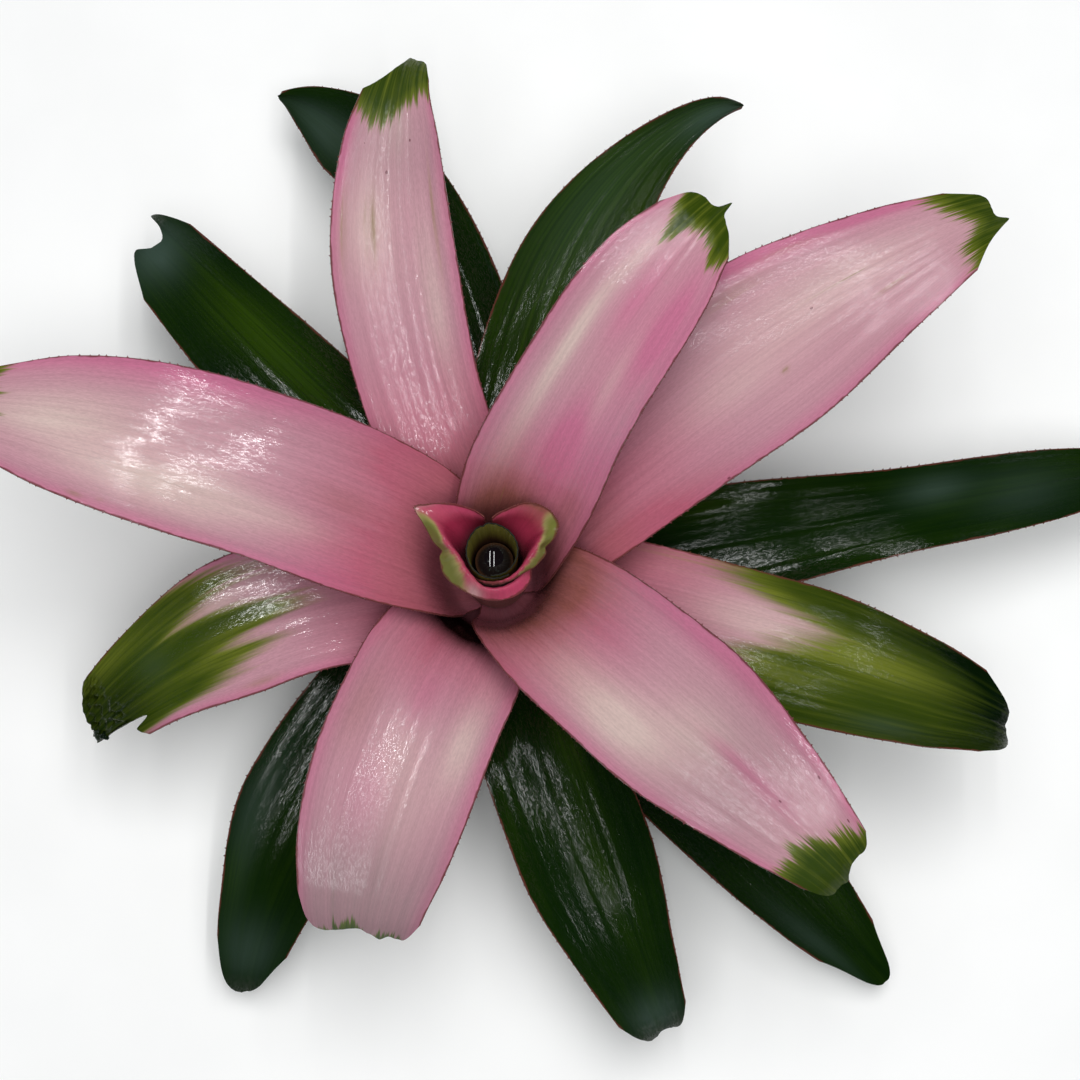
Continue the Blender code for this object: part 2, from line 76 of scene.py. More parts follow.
# Blades
ATTACH_WIDTH = 0.024
SHEATH_WIDTH = 0.042
WIDTH_STATIONS = (0.0, 0.08, 0.30, 0.55, 0.80, 0.92, 1.0)
DROOP_POWER = 1.6
HOOK_START = 0.86
TROUGH_ANGLE = 24.0
TROUGH_START = 0.2
TROUGH_FULL = 0.5
FLATTEST_BOW = 0.02
ROLL_START = 0.3
WAVE_START = 0.3
WAVE_FULL = 0.7
WAVE_LENGTH = 0.062
WAVE_LAG = 2.0
WAVE_POWER = 3
WIDEST_WRAP = 2.6
FREE_BEFORE_BEND = 0.014
FREE_LENGTH = 0.030
PATH_POINTS = 800
BLADE_ROWS = 210
BLADE_COLUMNS = 49
ROW_CROWDING = 1.2
MIDDLE_THICKNESS = 0.0011

# Fine relief of a blade
GROOVE_DEPTH = 0.00035
GROOVE_WIDTH = 0.09
GROOVE_IN_SHEATH = 0.4  # share of its depth that the groove has in the sheath
RIB_HEIGHT = 0.00004
RIBS = (5, 8, 11, 15)
RIB_DRIFT = 2.0  # how far a rib's phase may wander from stem to tip
SWELL_HEIGHT = 0.00014
SWELL_LENGTHS = (0.035, 0.095)
SWELL_SLANT = 2.2  # how far a swell's phase may turn from the middle to a margin
SWELLS = 6
WITHERED = {"pink_leaf_8": 0.87}  # leaves whose end has rotted, and from where
WITHER_HEIGHT = 0.0007
WITHER_LENGTHS = (0.0022, 0.0055)
WITHER_FOLDS = 9
WITHER_RISE = 0.04  # share of the length over which the folds grow
ROT_LUMPS = ((0.985, 0.17, 0.0021), (0.972, 0.36, 0.0016))  # (t, v, radius) of black lumps on such an end
LUMP_RINGS = 9
LUMP_SIDES = 14
LUMP_POLE = 0.15  # angle that the cap at each pole spans
LUMP_KNOBS = 0.25
LUMP_HEIGHT = 0.7  # share of its width
LUMP_MATT = 0.4

# Spines: from and to which share of a margin they stand, and their form as shares of their height
LEAF_SPINES = (0.16, 0.955)
BRACT_SPINES = (0.02, 0.98)
SPINE_SHIFT = 0.25  # share of the spacing
SPINE_SIZES = (0.6, 1.15)
SPINE_SUNK = 0.45
SPINE_BACK = 0.55
SPINE_FRONT = 0.75
SPINE_HALF_THICKNESS = 0.26
SPINE_REACH = 0.75
SPINE_LEAN = 0.65
MARGIN_COLUMNS = ((0, 3), (-1, -4))  # a leaf's margins, each with the column that its spines point away from
FIRST_SPINE_SEED = 100

# Tube, bracts and water
MIDDLE_LEAN = (-0.0003, 0.0018)
MIDDLE_LEAN_START = 0.045
MIDDLE_LEAN_LENGTH = 0.045
CUP_THICKNESS = 0.0008
CUP_ROWS = 96
CUP_COLUMNS = 201
CUP_PATTERN_RADIUS = 0.014  # turns an angle into a length for the skin's patterns
CREASE_RISE = (0.82, 0.18)  # where a dent in the lip starts, and over what share of the height it grows
WRINKLES = 23
WRINKLE_HEIGHT = 0.00007
WRINKLE_DRIFT = 3
WRINKLE_RISE = (0.5, 0.4)
LIP_THINNING = (0.85, 0.15, 0.5)  # start, share of the height over which it grows, strength
BRACT_LIP_INSIDE = -6  # the row of a bract's grid that its teeth point away from
WATER_SURFACE = 0.074
WATER_BOTTOM = 0.0425
WATER_GAP = 0.0004
WATER_CURVE = 0.012
WATER_SIDES = 96
WATER_WALL_RINGS = 24
WATER_TOP_RINGS = 26
WATER_TOP_SHARES = (0.98, 0.02)  # of the radius, for the outermost and the innermost of those rings
WATER_CREASE = 60

# Stem
STEM_RINGS = 60
STEM_SIDES = 96
SCAR_DEPTH = 0.0003
SCAR_SPACING = 0.0032
STEM_CUT_EDGE = (0.0002, 0.0008)  # heights of the first two rings over the cut
STEM_WOBBLE = ((0.012, 7, 900), (0.010, 17, -500))  # (share of the radius, waves round, phase per metre)

# Seeds of the skins' patterns
SEED_STEP = 7.3
BRACT_SEED = 40.0
TUBE_SEED = 61.0
GLINT_SEED = 5.0  # added to a leaf's own

# Stage
VIEW_TARGET = (0.0153, 0.0062, 0.088)
SENSOR_WIDTH = 36
FLOOR_REACH = 3
FLOOR_LINES = 13


class Leaf(NamedTuple):
    """One strap leaf; widths are across the flattened blade."""

    name: str
    azimuth: float  # direction in which it leaves the stem
    turn: float  # how far it turns sideways by its tip
    late: float  # above 1, the turn comes later along it
    length: float
    bend: float  # length at which it bends out of its sheath
    pitch: float  # its rise above the horizon after the bend
    droop: float  # how much of that rise is lost by its tip
    hook: float  # how much further its end bends down
    neck: float  # widths at the stations from 0.30 to 0.92
    middle: float
    far: float
    end: float
    roll: float  # how far it rolls about its midline by its tip
    wave: float  # height of the waves of its margins


LEAVES = (
    Leaf("pink_leaf_1", 63.5, -18, 1, 0.178, 0.050, 35, 30, 45, 0.050, 0.046, 0.040, 0.027, 0, 0.0006),
    Leaf("pink_leaf_2", 317.5, 0, 1, 0.190, 0.048, 28, 44, 45, 0.054, 0.058, 0.041, 0.028, 0, 0.0005),
    Leaf("pink_leaf_3", 160, 12, 1, 0.216, 0.046, 24, 36, 30, 0.056, 0.058, 0.046, 0.030, 0, 0.0006),
    Leaf("pink_leaf_4", 39.8, -13, 1, 0.234, 0.044, 22, 32, 30, 0.055, 0.064, 0.041, 0.027, 0, 0.0008),
    Leaf("pink_leaf_5", 243, 19, 1, 0.151, 0.043, 20, 34, 50, 0.055, 0.058, 0.051, 0.041, 0, 0.0005),
    Leaf("pink_leaf_6", 115, -37, 1, 0.205, 0.041, 18, 28, 40, 0.041, 0.045, 0.034, 0.021, 0, 0.0006),
    Leaf("pink_leaf_7", 344, -2, 1, 0.200, 0.039, 14, 34, 45, 0.048, 0.048, 0.037, 0.025, 0, 0.0007),
    Leaf("pink_leaf_8", 187.5, 36, 1, 0.162, 0.037, 12, 40, 20, 0.050, 0.050, 0.036, 0.028, 0, 0.0008),
    Leaf("green_leaf_1", 78.5, -60, 2, 0.209, 0.035, 12, 20, 40, 0.046, 0.042, 0.019, 0.009, 20, 0.0010),
    Leaf("green_leaf_2", 286, 11, 1, 0.175, 0.033, 8, 34, 45, 0.047, 0.048, 0.033, 0.024, 0, 0.0008),
    Leaf("green_leaf_3", 138, -7, 1, 0.189, 0.031, 7, 22, 40, 0.046, 0.042, 0.034, 0.029, -10, 0.0012),
    Leaf("green_leaf_4", 9, 3, 1, 0.243, 0.029, 6, 20, 10, 0.042, 0.032, 0.026, 0.018, 15, 0.0014),
    Leaf("green_leaf_5", 224.5, 36, 1, 0.172, 0.027, 3, 26, 40, 0.046, 0.048, 0.031, 0.022, 0, 0.0010),
    Leaf("green_leaf_6", 93, 61, 1.4, 0.211, 0.025, 4, 14, 20, 0.036, 0.033, 0.033, 0.018, -15, 0.0012),
    Leaf("green_leaf_7", 315, -1, 1, 0.188, 0.023, 0, 14, 10, 0.044, 0.042, 0.031, 0.021, 0, 0.0008),
)

# How each leaf ends: the share of its last width that it keeps, and then, at places across from
# its right margin to its left one, how much shorter it is there, as a share of its length
HORN = ((-1, 0.085), (-0.75, 0.045), (-0.35, 0.022), (-0.13, 0.015), (0, 0), (0.13, 0.015), (0.4, 0.022),
        (0.78, 0.045), (1, 0.085))
BLUNT = ((-1, 0.085), (-0.6, 0.035), (0, 0), (0.6, 0.035), (1, 0.085))
POINT = ((-1, 0.010), (-0.5, 0.004), (0, 0), (0.5, 0.004), (1, 0.010))
ENDS = {
    "pink_leaf_1": (0.80, ((-1, 0.105), (-0.74, 0.072), (-0.42, 0.050), (-0.24, 0.034), (-0.15, 0),
                           (0.02, 0.034), (0.5, 0.042), (0.82, 0.062), (1, 0.105))),
    "pink_leaf_2": (0.80, ((-1, 0.085), (-0.9, 0.045), (-0.62, 0.012), (-0.35, 0.012), (-0.1, 0),
                           (0.15, 0.026), (0.5, 0.035), (0.8, 0.037), (1, 0.066))),
    "pink_leaf_3": (0.80, HORN),
    "pink_leaf_4": (0.80, ((-1, 0.110), (-0.57, 0.060), (-0.32, 0.020), (-0.18, 0), (-0.02, 0.021),
                           (0.2, 0.027), (0.5, 0.025), (0.74, 0.038), (1, 0.093))),
    "pink_leaf_5": (0.85, ((-1, 0.105), (-0.88, 0.046), (-0.5, 0.014), (-0.05, 0.028), (0.25, 0.014),
                           (0.4, 0), (0.56, 0.025), (0.8, 0.022), (1, 0.080))),
    "pink_leaf_6": (0.85, ((-1, 0.070), (-0.8, 0.022), (-0.4, 0.008), (-0.07, 0), (0.1, 0.034),
                           (0.3, 0.058), (0.65, 0.088), (1, 0.110))),
    "pink_leaf_7": (0.85, ((-1, 0.086), (-0.77, 0.028), (-0.47, 0), (-0.25, 0.022), (-0.05, 0.032),
                           (0.2, 0.035), (0.4, 0.038), (0.66, 0.066), (1, 0.118))),
    "pink_leaf_8": (0.80, ((-1, 0.08), (-0.6, 0.03), (-0.2, 0.015), (0.15, 0), (0.38, 0.01),
                           (0.5, 0.10), (0.6, 0.15), (0.76, 0.11), (1, 0.13))),
    "green_leaf_1": (0.15, POINT),
    "green_leaf_2": (0.85, ((-1, 0.10), (-0.73, 0.044), (-0.4, 0), (0.2, 0.022), (0.62, 0.004),
                            (1, 0.08))),
    "green_leaf_3": (0.90, ((-1, 0.12), (-0.84, 0.07), (-0.58, 0), (-0.45, 0.065), (0.05, 0.085),
                            (0.42, 0.058), (0.62, 0.08), (1, 0.16))),
    "green_leaf_4": (0.80, BLUNT),
    "green_leaf_5": (0.85, ((-1, 0.14), (-0.8, 0.05), (-0.33, 0), (0.37, 0.03), (0.6, 0.06),
                            (1, 0.13))),
    "green_leaf_6": (0.10, POINT),
    "green_leaf_7": (0.80, ((-1, 0.13), (-0.6, 0.035), (0, 0), (0.6, 0.025), (1, 0.11))),
}
END_REACH = 0.3  # share of the length over which the cuts grow
CROWD_START = 0.5  # from here the columns of the grid move from even places to the end's
CROWD_LENGTH = 0.3


class Cup(NamedTuple):
    """A leaf round the middle: rings up to its throat, then a fold and a lip that differ by angle."""

    name: str
    rings: tuple  # (radius, height) from the base up
    ribs: tuple  # (angle, fold radius, fold height, lip radius, lip height)
    spiral: float
    creases: tuple  # (angle, half width in degrees, depth) of dents in the lip


TUBE_LEAF = Cup(
    "tube_leaf",
    ((0.0046, 0.038), (0.0063, 0.046), (0.0069, 0.062)),
    (
        (-95, 0.0074, 0.080, 0.0080, 0.0910),
        (-20, 0.0076, 0.080, 0.0082, 0.0925),
        (60, 0.0079, 0.080, 0.0084, 0.0940),
        (110, 0.0081, 0.080, 0.0086, 0.0970),
        (160, 0.0082, 0.080, 0.0087, 0.0940),
        (240, 0.0085, 0.080, 0.0090, 0.0925),
        (305, 0.0087, 0.080, 0.0092, 0.0910),
    ),
    0.0011,
    ((113, 4, 0.0007),),
)
INNER_BRACT = Cup(
    "inner_bract",
    ((0.0054, 0.0364), (0.0086, 0.045), (0.0096, 0.062), (0.0104, 0.078)),
    (
        (-128, 0.0102, 0.0850, 0.0103, 0.0856),
        (-103, 0.0103, 0.0892, 0.0107, 0.0902),
        (-62, 0.0105, 0.0915, 0.0115, 0.0921),
        (-37, 0.0108, 0.0923, 0.0124, 0.0915),
        (-15, 0.0116, 0.0928, 0.0154, 0.0902),
        (0, 0.0130, 0.0930, 0.0180, 0.0896),
        (14, 0.0155, 0.0926, 0.0214, 0.0910),
        (24, 0.0165, 0.0885, 0.0237, 0.0924),
        (40, 0.0165, 0.0875, 0.0226, 0.0930),
        (55, 0.0150, 0.0875, 0.0198, 0.0925),
        (70, 0.0130, 0.0875, 0.0155, 0.0915),
        (92, 0.0110, 0.0870, 0.0116, 0.0900),
    ),
    0.0,
    ((6, 5, 0.0018),),
)
OUTER_BRACT = Cup(
    "outer_bract",
    ((0.0063, 0.0350), (0.0102, 0.045), (0.0112, 0.062), (0.0119, 0.078)),
    (
        (104, 0.0120, 0.0860, 0.0123, 0.0900),
        (120, 0.0140, 0.0870, 0.0170, 0.0916),
        (136, 0.0170, 0.0880, 0.0230, 0.0932),
        (145, 0.0184, 0.0890, 0.0268, 0.0936),
        (150.5, 0.0188, 0.0903, 0.0300, 0.0932),
        (157, 0.0180, 0.0925, 0.0256, 0.0915),
        (168, 0.0154, 0.0935, 0.0208, 0.0900),
        (182, 0.0124, 0.0934, 0.0182, 0.0890),
        (205, 0.0108, 0.0926, 0.0178, 0.0882),
        (230, 0.0109, 0.0916, 0.0160, 0.0874),
        (254, 0.0122, 0.0904, 0.0156, 0.0868),
        (280, 0.0124, 0.0900, 0.0158, 0.0868),
        (300, 0.0122, 0.0896, 0.0160, 0.0866),
        (320, 0.0120, 0.0886, 0.0154, 0.0862),
        (337, 0.0118, 0.0868, 0.0138, 0.0850),
        (352, 0.0115, 0.0845, 0.0119, 0.0835),
    ),
    0.0,
    ((178, 5, 0.0016),),
)


# Where each leaf turns green: the place along it, at places across it
GREEN_FROM = {
    "pink_leaf_1": ((-1, 0.88), (-0.8, 0.86), (-0.4, 0.885), (0, 0.90), (0.3, 0.85), (0.55, 0.885),
                    (1, 0.94)),
    "pink_leaf_2": ((-1, 0.885), (-0.6, 0.865), (-0.1, 0.87), (0.3, 0.90), (0.8, 0.915), (1, 0.925)),
    "pink_leaf_3": ((-1, 0.90), (0, 0.915), (1, 0.91)),
    "pink_leaf_4": ((-1, 0.89), (-0.5, 0.885), (0, 0.925), (0.4, 0.90), (0.7, 0.885), (1, 0.875)),
    "pink_leaf_5": ((-1, 0.99), (-0.5, 0.975), (-0.15, 0.945), (0.2, 0.985), (0.55, 0.965), (1, 0.99)),
    "pink_leaf_6": ((-1, 0.90), (-0.7, 0.885), (-0.2, 0.86), (0.2, 0.83), (0.6, 0.835), (1, 0.85)),
    "pink_leaf_7": ((-1, 0.38), (-0.4, 0.40), (-0.15, 0.45), (0, 0.52), (0.2, 0.57), (0.45, 0.58),
                    (0.6, 0.51), (0.8, 0.42), (1, 0.40)),
    "pink_leaf_8": ((-1, 0.70), (-0.8, 0.53), (-0.62, 0.55), (-0.45, 0.66), (-0.2, 0.46), (0, 0.44),
                    (0.15, 0.60), (0.3, 0.52), (0.5, 0.60), (0.7, 0.66), (0.85, 0.78), (1, 0.92)),
}
# Over what share of the length that edge is soft: long on two leaves, short where a cap ends a pink blade
GREEN_SOFTNESS = {"pink_leaf_7": 0.24, "pink_leaf_8": 0.24}
CAP_SOFTNESS = 0.075
FINE_RAGGED = 0.45  # how much the finest lines break up the edge of the green, for each part of the streaks

# Soft steps of paint that every strap leaf has, as (start, length, strength); they fall where the length is
# below 0
CREAM_BLADE = (0.35, 0.25, 0.20)
MAGENTA_MARGIN = (0.76, 0.26, 0.7)
ROSE_FOOT = (0.52, -0.32, 0.85)
TAN_FOOT = (0.31, -0.10, 0.35)
# Painted shade: darker where the foot of a leaf lies deep between the others
PAINTED_SHADE_FOOT = (0.215, -0.07)
MATT_END = (0.80, 0.15)
FOOT_SHADE = 0.5  # strength of the painted shade at the foot, and where it differs
FOOT_SHADES = {"pink_leaf_1": 0.1, "pink_leaf_2": 0.1, "pink_leaf_3": 0.0, "pink_leaf_4": 0.0}
MOST_PAINT = 1.2
FULL_MASKS = ("green", "tan", "matt")  # masks of a strap leaf that stop at 1

# The masks of a skin, as the point values that hold them, and how many numbers a value has if not one
PAINT_VALUES = {
    "matt": ("matt",),
    # The third mask of the cover is painted sheen on green ends and painted shade on pink ones; the dark
    # mask is dark green on green parts and painted shade elsewhere.
    "blush": ("cream", "magenta", "rose"),
    "cover": ("green", "olive", "painted_sheen_shade_and_dust"),
    "tone": ("tan", "yellow", "dark"),
}
WIDTHS = {"place": 2, "blush": 3, "cover": 3, "tone": 3}

# Soft patches of paint by kind: (t, v, half length, half width, strength) of each. On a bract, t is the
# share of its height, and v and the half width are degrees round it.
# Patches that grey a drooping end are painted sheen on the green leaves and painted shade on the pink ones;
# a dark patch where a pink leaf has no green is painted shade.
PAINT = {
    "pink_leaf_1": {
        "matt": ((0.70, 0.30, 0.15, 0.8, 0.5),),
        "cream": ((0.62, 0.50, 0.14, 0.12, 0.9), (0.40, 0.55, 0.16, 0.18, 0.45),
                  (0.80, 0.42, 0.06, 0.10, 0.4), (0.60, -0.33, 0.12, 0.10, 0.4)),
        "magenta": ((0.74, 0.06, 0.10, 0.16, 0.55), (0.72, -0.66, 0.14, 0.22, 0.8),
                    (0.44, -0.12, 0.10, 0.20, 0.55), (0.42, -0.75, 0.10, 0.20, 0.6),
                    (0.72, -0.35, 0.15, 0.45, 0.6), (0.40, -0.25, 0.12, 0.45, 0.8)),
        "tan": ((0.25, 0.35, 0.10, 0.45, 0.6), (0.33, -0.62, 0.05, 0.20, 0.3), (0.24, 0.10, 0.07, 0.9, 0.6)),
    },
    "pink_leaf_2": {
        "matt": ((0.64, -0.20, 0.20, 1.0, 0.7),),
        "cream": ((0.50, -0.45, 0.12, 0.32, 1.0), (0.62, 0.05, 0.07, 0.30, 0.45),
                  (0.35, -0.35, 0.07, 0.3, 0.4)),
        "magenta": ((0.70, 0.08, 0.07, 0.10, 0.7), (0.78, 0.02, 0.07, 0.22, 0.5),
                    (0.34, 0.30, 0.08, 0.30, 0.5), (0.60, 0.85, 0.22, 0.16, 0.6)),
        "painted_sheen_shade_and_dust": ((0.72, -0.1, 0.14, 1.4, 0.45),),
        "tan": ((0.24, 0.55, 0.09, 0.5, 0.7), (0.22, 0.20, 0.10, 1.0, 0.7)),
    },
    "pink_leaf_3": {
        "cream": ((0.80, -0.10, 0.12, 0.35, 0.8), (0.62, 0.45, 0.16, 0.30, 0.8),
                  (0.42, 0.40, 0.08, 0.16, 0.3)),
        "magenta": ((0.62, -0.85, 0.22, 0.18, 0.7), (0.30, 0.85, 0.10, 0.30, 0.8)),
        "rose": ((0.24, -0.75, 0.10, 0.35, 0.7), (0.22, 0.50, 0.10, 0.5, 0.6)),
        "olive": ((0.75, 0.90, 0.012, 0.035, 1.0), (0.71, 0.85, 0.006, 0.02, 0.8)),
        "tan": ((0.35, -0.05, 0.06, 0.2, 0.25),),
    },
    "pink_leaf_4": {
        "matt": ((0.60, 0.10, 0.16, 1.2, 0.85),),
        "cream": ((0.70, 0.20, 0.14, 0.36, 0.35), (0.50, -0.10, 0.10, 0.30, 0.25)),
        "magenta": ((0.70, 0.95, 0.25, 0.16, 0.8),),
        "rose": ((0.30, -0.95, 0.12, 0.25, 0.6),),
        "olive": ((0.58, 0.68, 0.05, 0.05, 0.9), (0.68, 0.86, 0.05, 0.04, 0.5),
                  (0.775, -0.24, 0.03, 0.03, 0.9), (0.58, -0.32, 0.006, 0.025, 1.2)),
    },
    "pink_leaf_5": {
        "matt": ((0.76, 0.0, 0.13, 1.8, 0.8),),
        "cream": ((0.50, 0.62, 0.12, 0.20, 0.7), (0.70, 0.25, 0.12, 0.35, 0.25),
                  (0.56, -0.05, 0.10, 0.30, 0.35)),
        "magenta": ((0.42, -0.05, 0.08, 0.16, 0.5), (0.68, -0.25, 0.12, 0.30, 0.35)),
        "rose": ((0.30, -0.25, 0.12, 0.30, 0.3),),
        "painted_sheen_shade_and_dust": ((0.90, 0.0, 0.17, 1.8, 0.8),),
        "tan": ((0.50, -0.72, 0.10, 0.25, 0.35),),
        # painted shade in the deep gap at this leaf's foot
        "dark": ((0.17, -0.10, 0.075, 1.2, 1.2),),
    },
    "pink_leaf_6": {
        "matt": ((0.70, 0.55, 0.35, 0.55, 0.9),),
        "cream": ((0.66, 0.45, 0.09, 0.40, 0.5), (0.84, -0.10, 0.05, 0.3, 0.3),
                  (0.52, -0.53, 0.14, 0.18, 0.5)),
        "magenta": ((0.78, 0.9, 0.10, 0.14, 0.6),),
        "olive": ((0.66, 0.79, 0.06, 0.05, 1.0), (0.66, 0.30, 0.05, 0.04, 1.1),
                  (0.66, 0.42, 0.04, 0.02, 0.6), (0.67, -0.72, 0.09, 0.035, 0.9)),
        "painted_sheen_shade_and_dust": ((0.80, 0.0, 0.09, 1.3, 0.3),),
    },
    "pink_leaf_7": {
        "matt": ((0.62, 0.0, 0.24, 2.0, 1.0),),
        "cream": ((0.48, 0.30, 0.12, 0.30, 0.6),),
        "olive": ((0.33, 0.95, 0.10, 0.22, 0.6),),
        "painted_sheen_shade_and_dust": ((0.74, -0.75, 0.06, 0.16, 0.35),),
        "yellow": ((0.68, 0.20, 0.13, 0.30, 0.9), (0.48, 0.68, 0.08, 0.16, 0.7),
                   (0.52, -0.35, 0.10, 0.16, 0.6)),
        "dark": ((0.86, 0.90, 0.22, 0.30, 1.0), (0.97, 0.0, 0.12, 1.2, 0.8), (0.82, -0.95, 0.22, 0.35, 0.6),
                 (0.93, 0.30, 0.10, 0.80, 0.5)),
    },
    "pink_leaf_8": {
        "cream": ((0.60, -0.40, 0.05, 0.16, 0.5),),
        "olive": ((0.45, -0.60, 0.09, 0.12, 0.5), (0.58, 0.85, 0.04, 0.06, 0.6)),
        "painted_sheen_shade_and_dust": ((0.78, -0.15, 0.04, 0.30, 0.2),),
        "yellow": ((0.56, -0.02, 0.10, 0.10, 0.5), (0.66, 0.30, 0.08, 0.08, 0.5),
                   (0.86, -0.85, 0.10, 0.20, 0.5)),
        "dark": ((0.99, 0.0, 0.09, 1.4, 0.8), (0.88, 0.20, 0.07, 0.80, 0.6)),
    },
    "green_leaf_1": {
        "matt": ((0.72, 0.0, 0.30, 1.6, 1.0),),
        "painted_sheen_shade_and_dust": ((0.92, -0.3, 0.08, 0.7, 0.8), (0.66, 0.3, 0.18, 0.6, 0.3)),
        "yellow": ((0.5, 0.2, 0.2, 0.2, 0.3), (0.62, 0.1, 0.28, 1.2, 0.9)),
    },
    "green_leaf_2": {
        "matt": ((0.60, 0.0, 0.18, 1.4, 0.7),),
        "painted_sheen_shade_and_dust": ((0.92, 0.05, 0.05, 0.70, 0.7),),
        "yellow": ((0.36, 0.25, 0.10, 0.22, 0.5), (0.58, 0.10, 0.10, 0.10, 0.35)),
    },
    "green_leaf_3": {
        "painted_sheen_shade_and_dust": ((0.90, 0.10, 0.06, 0.75, 1.0),),
        "yellow": ((0.60, -0.25, 0.20, 0.40, 0.9),),
        "dark": ((0.45, 0.55, 0.15, 0.3, 0.5),),
    },
    "green_leaf_4": {
        "matt": ((0.40, 0.30, 0.40, 0.75, 1.0), (0.58, 0.00, 0.12, 1.60, 0.9)),
        "painted_sheen_shade_and_dust": ((0.63, 0.35, 0.05, 0.35, 0.6), (0.76, 0.0, 0.07, 0.6, 0.4)),
        "yellow": ((0.30, 0.70, 0.07, 0.25, 0.4),),
        "dark": ((0.50, 0.5, 0.10, 0.5, 0.5),),
    },
    "green_leaf_5": {
        "matt": ((0.74, 0.0, 0.18, 1.8, 0.9),),
        "painted_sheen_shade_and_dust": ((0.62, -0.70, 0.14, 0.25, 0.4), (0.88, -0.10, 0.07, 0.80, 0.5)),
        "yellow": ((0.60, 0.30, 0.05, 0.4, 0.3),),
    },
    "green_leaf_6": {
        "painted_sheen_shade_and_dust": ((0.86, 0.3, 0.10, 0.5, 0.8),),
    },
    "green_leaf_7": {
        "painted_sheen_shade_and_dust": ((0.84, -0.62, 0.12, 0.25, 0.4),),
        "yellow": ((0.74, 0.5, 0.14, 0.3, 0.4),),
    },
    "inner_bract": {
        "magenta": ((0.90, 74, 0.12, 22, 0.8),),
        "rose": ((0.72, 50, 0.20, 70, 1.2), (0.80, -60, 0.16, 60, 0.8)),
        "green": ((1.0, -20, 0.13, 40, 1.2), (0.95, 16, 0.09, 16, 1.2)),
        "tan": ((0.99, 40, 0.04, 26, 1.0), (0.92, 36, 0.10, 22, 0.6)),
    },
    "outer_bract": {
        "cream": ((0.95, 246, 0.10, 12, 0.8), (1.0, 160, 0.025, 14, 0.9)),
        "magenta": ((0.95, 122, 0.20, 24, 0.9), (0.94, 300, 0.20, 42, 1.1)),
        "rose": ((0.72, 140, 0.14, 60, 1.0), (0.70, 250, 0.16, 90, 1.0)),
        "green": ((1.0, 198, 0.15, 36, 1.4), (0.93, 162, 0.07, 9, 1.2)),
    },
}


def srgb(red, green, blue):
    """A colour picker's eight-bit values as light: ((c / 255 + 0.055) / 1.055)^2.4."""
    return tuple(((c / 255 + 0.055) / 1.055) ** 2.4 for c in (red, green, blue))


def smooth(x):
    """3x^2 - 2x^3 between 0 and 1, and level outside."""
    x = np.clip(x, 0.0, 1.0)
    return x * x * (3 - 2 * x)


def ramp(x, start, length, strength=1.0):
    """strength * smooth((x - start) / length), which falls where the length is below 0."""
    return strength * smooth((x - start) / length)


def through(stations, values, x):
    """Cubic Hermite curve through the values, with level slopes where they turn."""
    stations, values = np.asarray(stations, float), np.asarray(values, float)
    gaps = np.diff(stations)
    slopes = np.diff(values) / gaps
    ends = np.concatenate([slopes[:1], (slopes[:-1] + slopes[1:]) / 2, slopes[-1:]])
    ends[1:-1] = np.where(slopes[:-1] * slopes[1:] <= 0, 0, ends[1:-1])
    i = np.clip(np.searchsorted(stations, x, "right") - 1, 0, len(gaps) - 1)
    t = (x - stations[i]) / gaps[i]
    start = (1 + 2 * t) * (1 - t) ** 2 * values[i] + t * (1 - t) ** 2 * gaps[i] * ends[i]
    finish = t * t * (3 - 2 * t) * values[i + 1] + t * t * (t - 1) * gaps[i] * ends[i + 1]
    return start + finish


def spots(name, t, v):
    """The masks of a piece by kind, each the sum of its patches.

    A patch is strength * exp(-((t - t0) / long)^2 - ((v - v0) / wide)^2).
    """
    sums = {kind: np.zeros(np.broadcast(t, v).shape) for kinds in PAINT_VALUES.values() for kind in kinds}
    for kind, patches in PAINT.get(name, {}).items():
        for along, across, long, wide, strength in patches:
            sums[kind] += strength * np.exp(-(((t - along) / long) ** 2) - ((v - across) / wide) ** 2)
    return sums


def packed(masks):
    """The masks stacked as the point values that hold them."""
    return {value: np.stack([masks[kind] for kind in kinds], -1) for value, kinds in PAINT_VALUES.items()}


def stem_radius(height):
    """The stem's cone: top radius + drop from the top / layer drop * layer widening."""
    return STEM_TOP_RADIUS + (STEM_TOP_HEIGHT - height) / LAYER_DROP * LAYER_WIDEN


def headings(leaf, layer, s):
    """Pitch and yaw at length s: sheath pitch * (1 - past) + (pitch - droop * u^1.6) * past - hook."""
    steep = STEEPEST_SHEATH - SHEATH_SLACK * layer
    flare = smooth((s - FLARE_START - FLARE_STEP * layer) / FLARE_LENGTH)
    rise = ATTACH_PITCH + (steep - ATTACH_PITCH) * flare
    past = 1 / (1 + np.exp(-(s - leaf.bend) / BEND_LENGTH))
    u = np.clip((s - leaf.bend) / (leaf.length - leaf.bend), 0, 1)
    blade = leaf.pitch - leaf.droop * u**DROOP_POWER
    hook = leaf.hook * smooth((s / leaf.length - HOOK_START) / (1 - HOOK_START))
    pitch = rise * (1 - past) + blade * past - hook
    yaw = leaf.azimuth + leaf.turn * u**leaf.late
    return np.radians(pitch), np.radians(yaw)


def direction(pitch, yaw):
    """(cos pitch cos yaw, cos pitch sin yaw, sin pitch)."""
    return np.stack([np.cos(pitch) * np.cos(yaw), np.cos(pitch) * np.sin(yaw), np.sin(pitch)], -1)


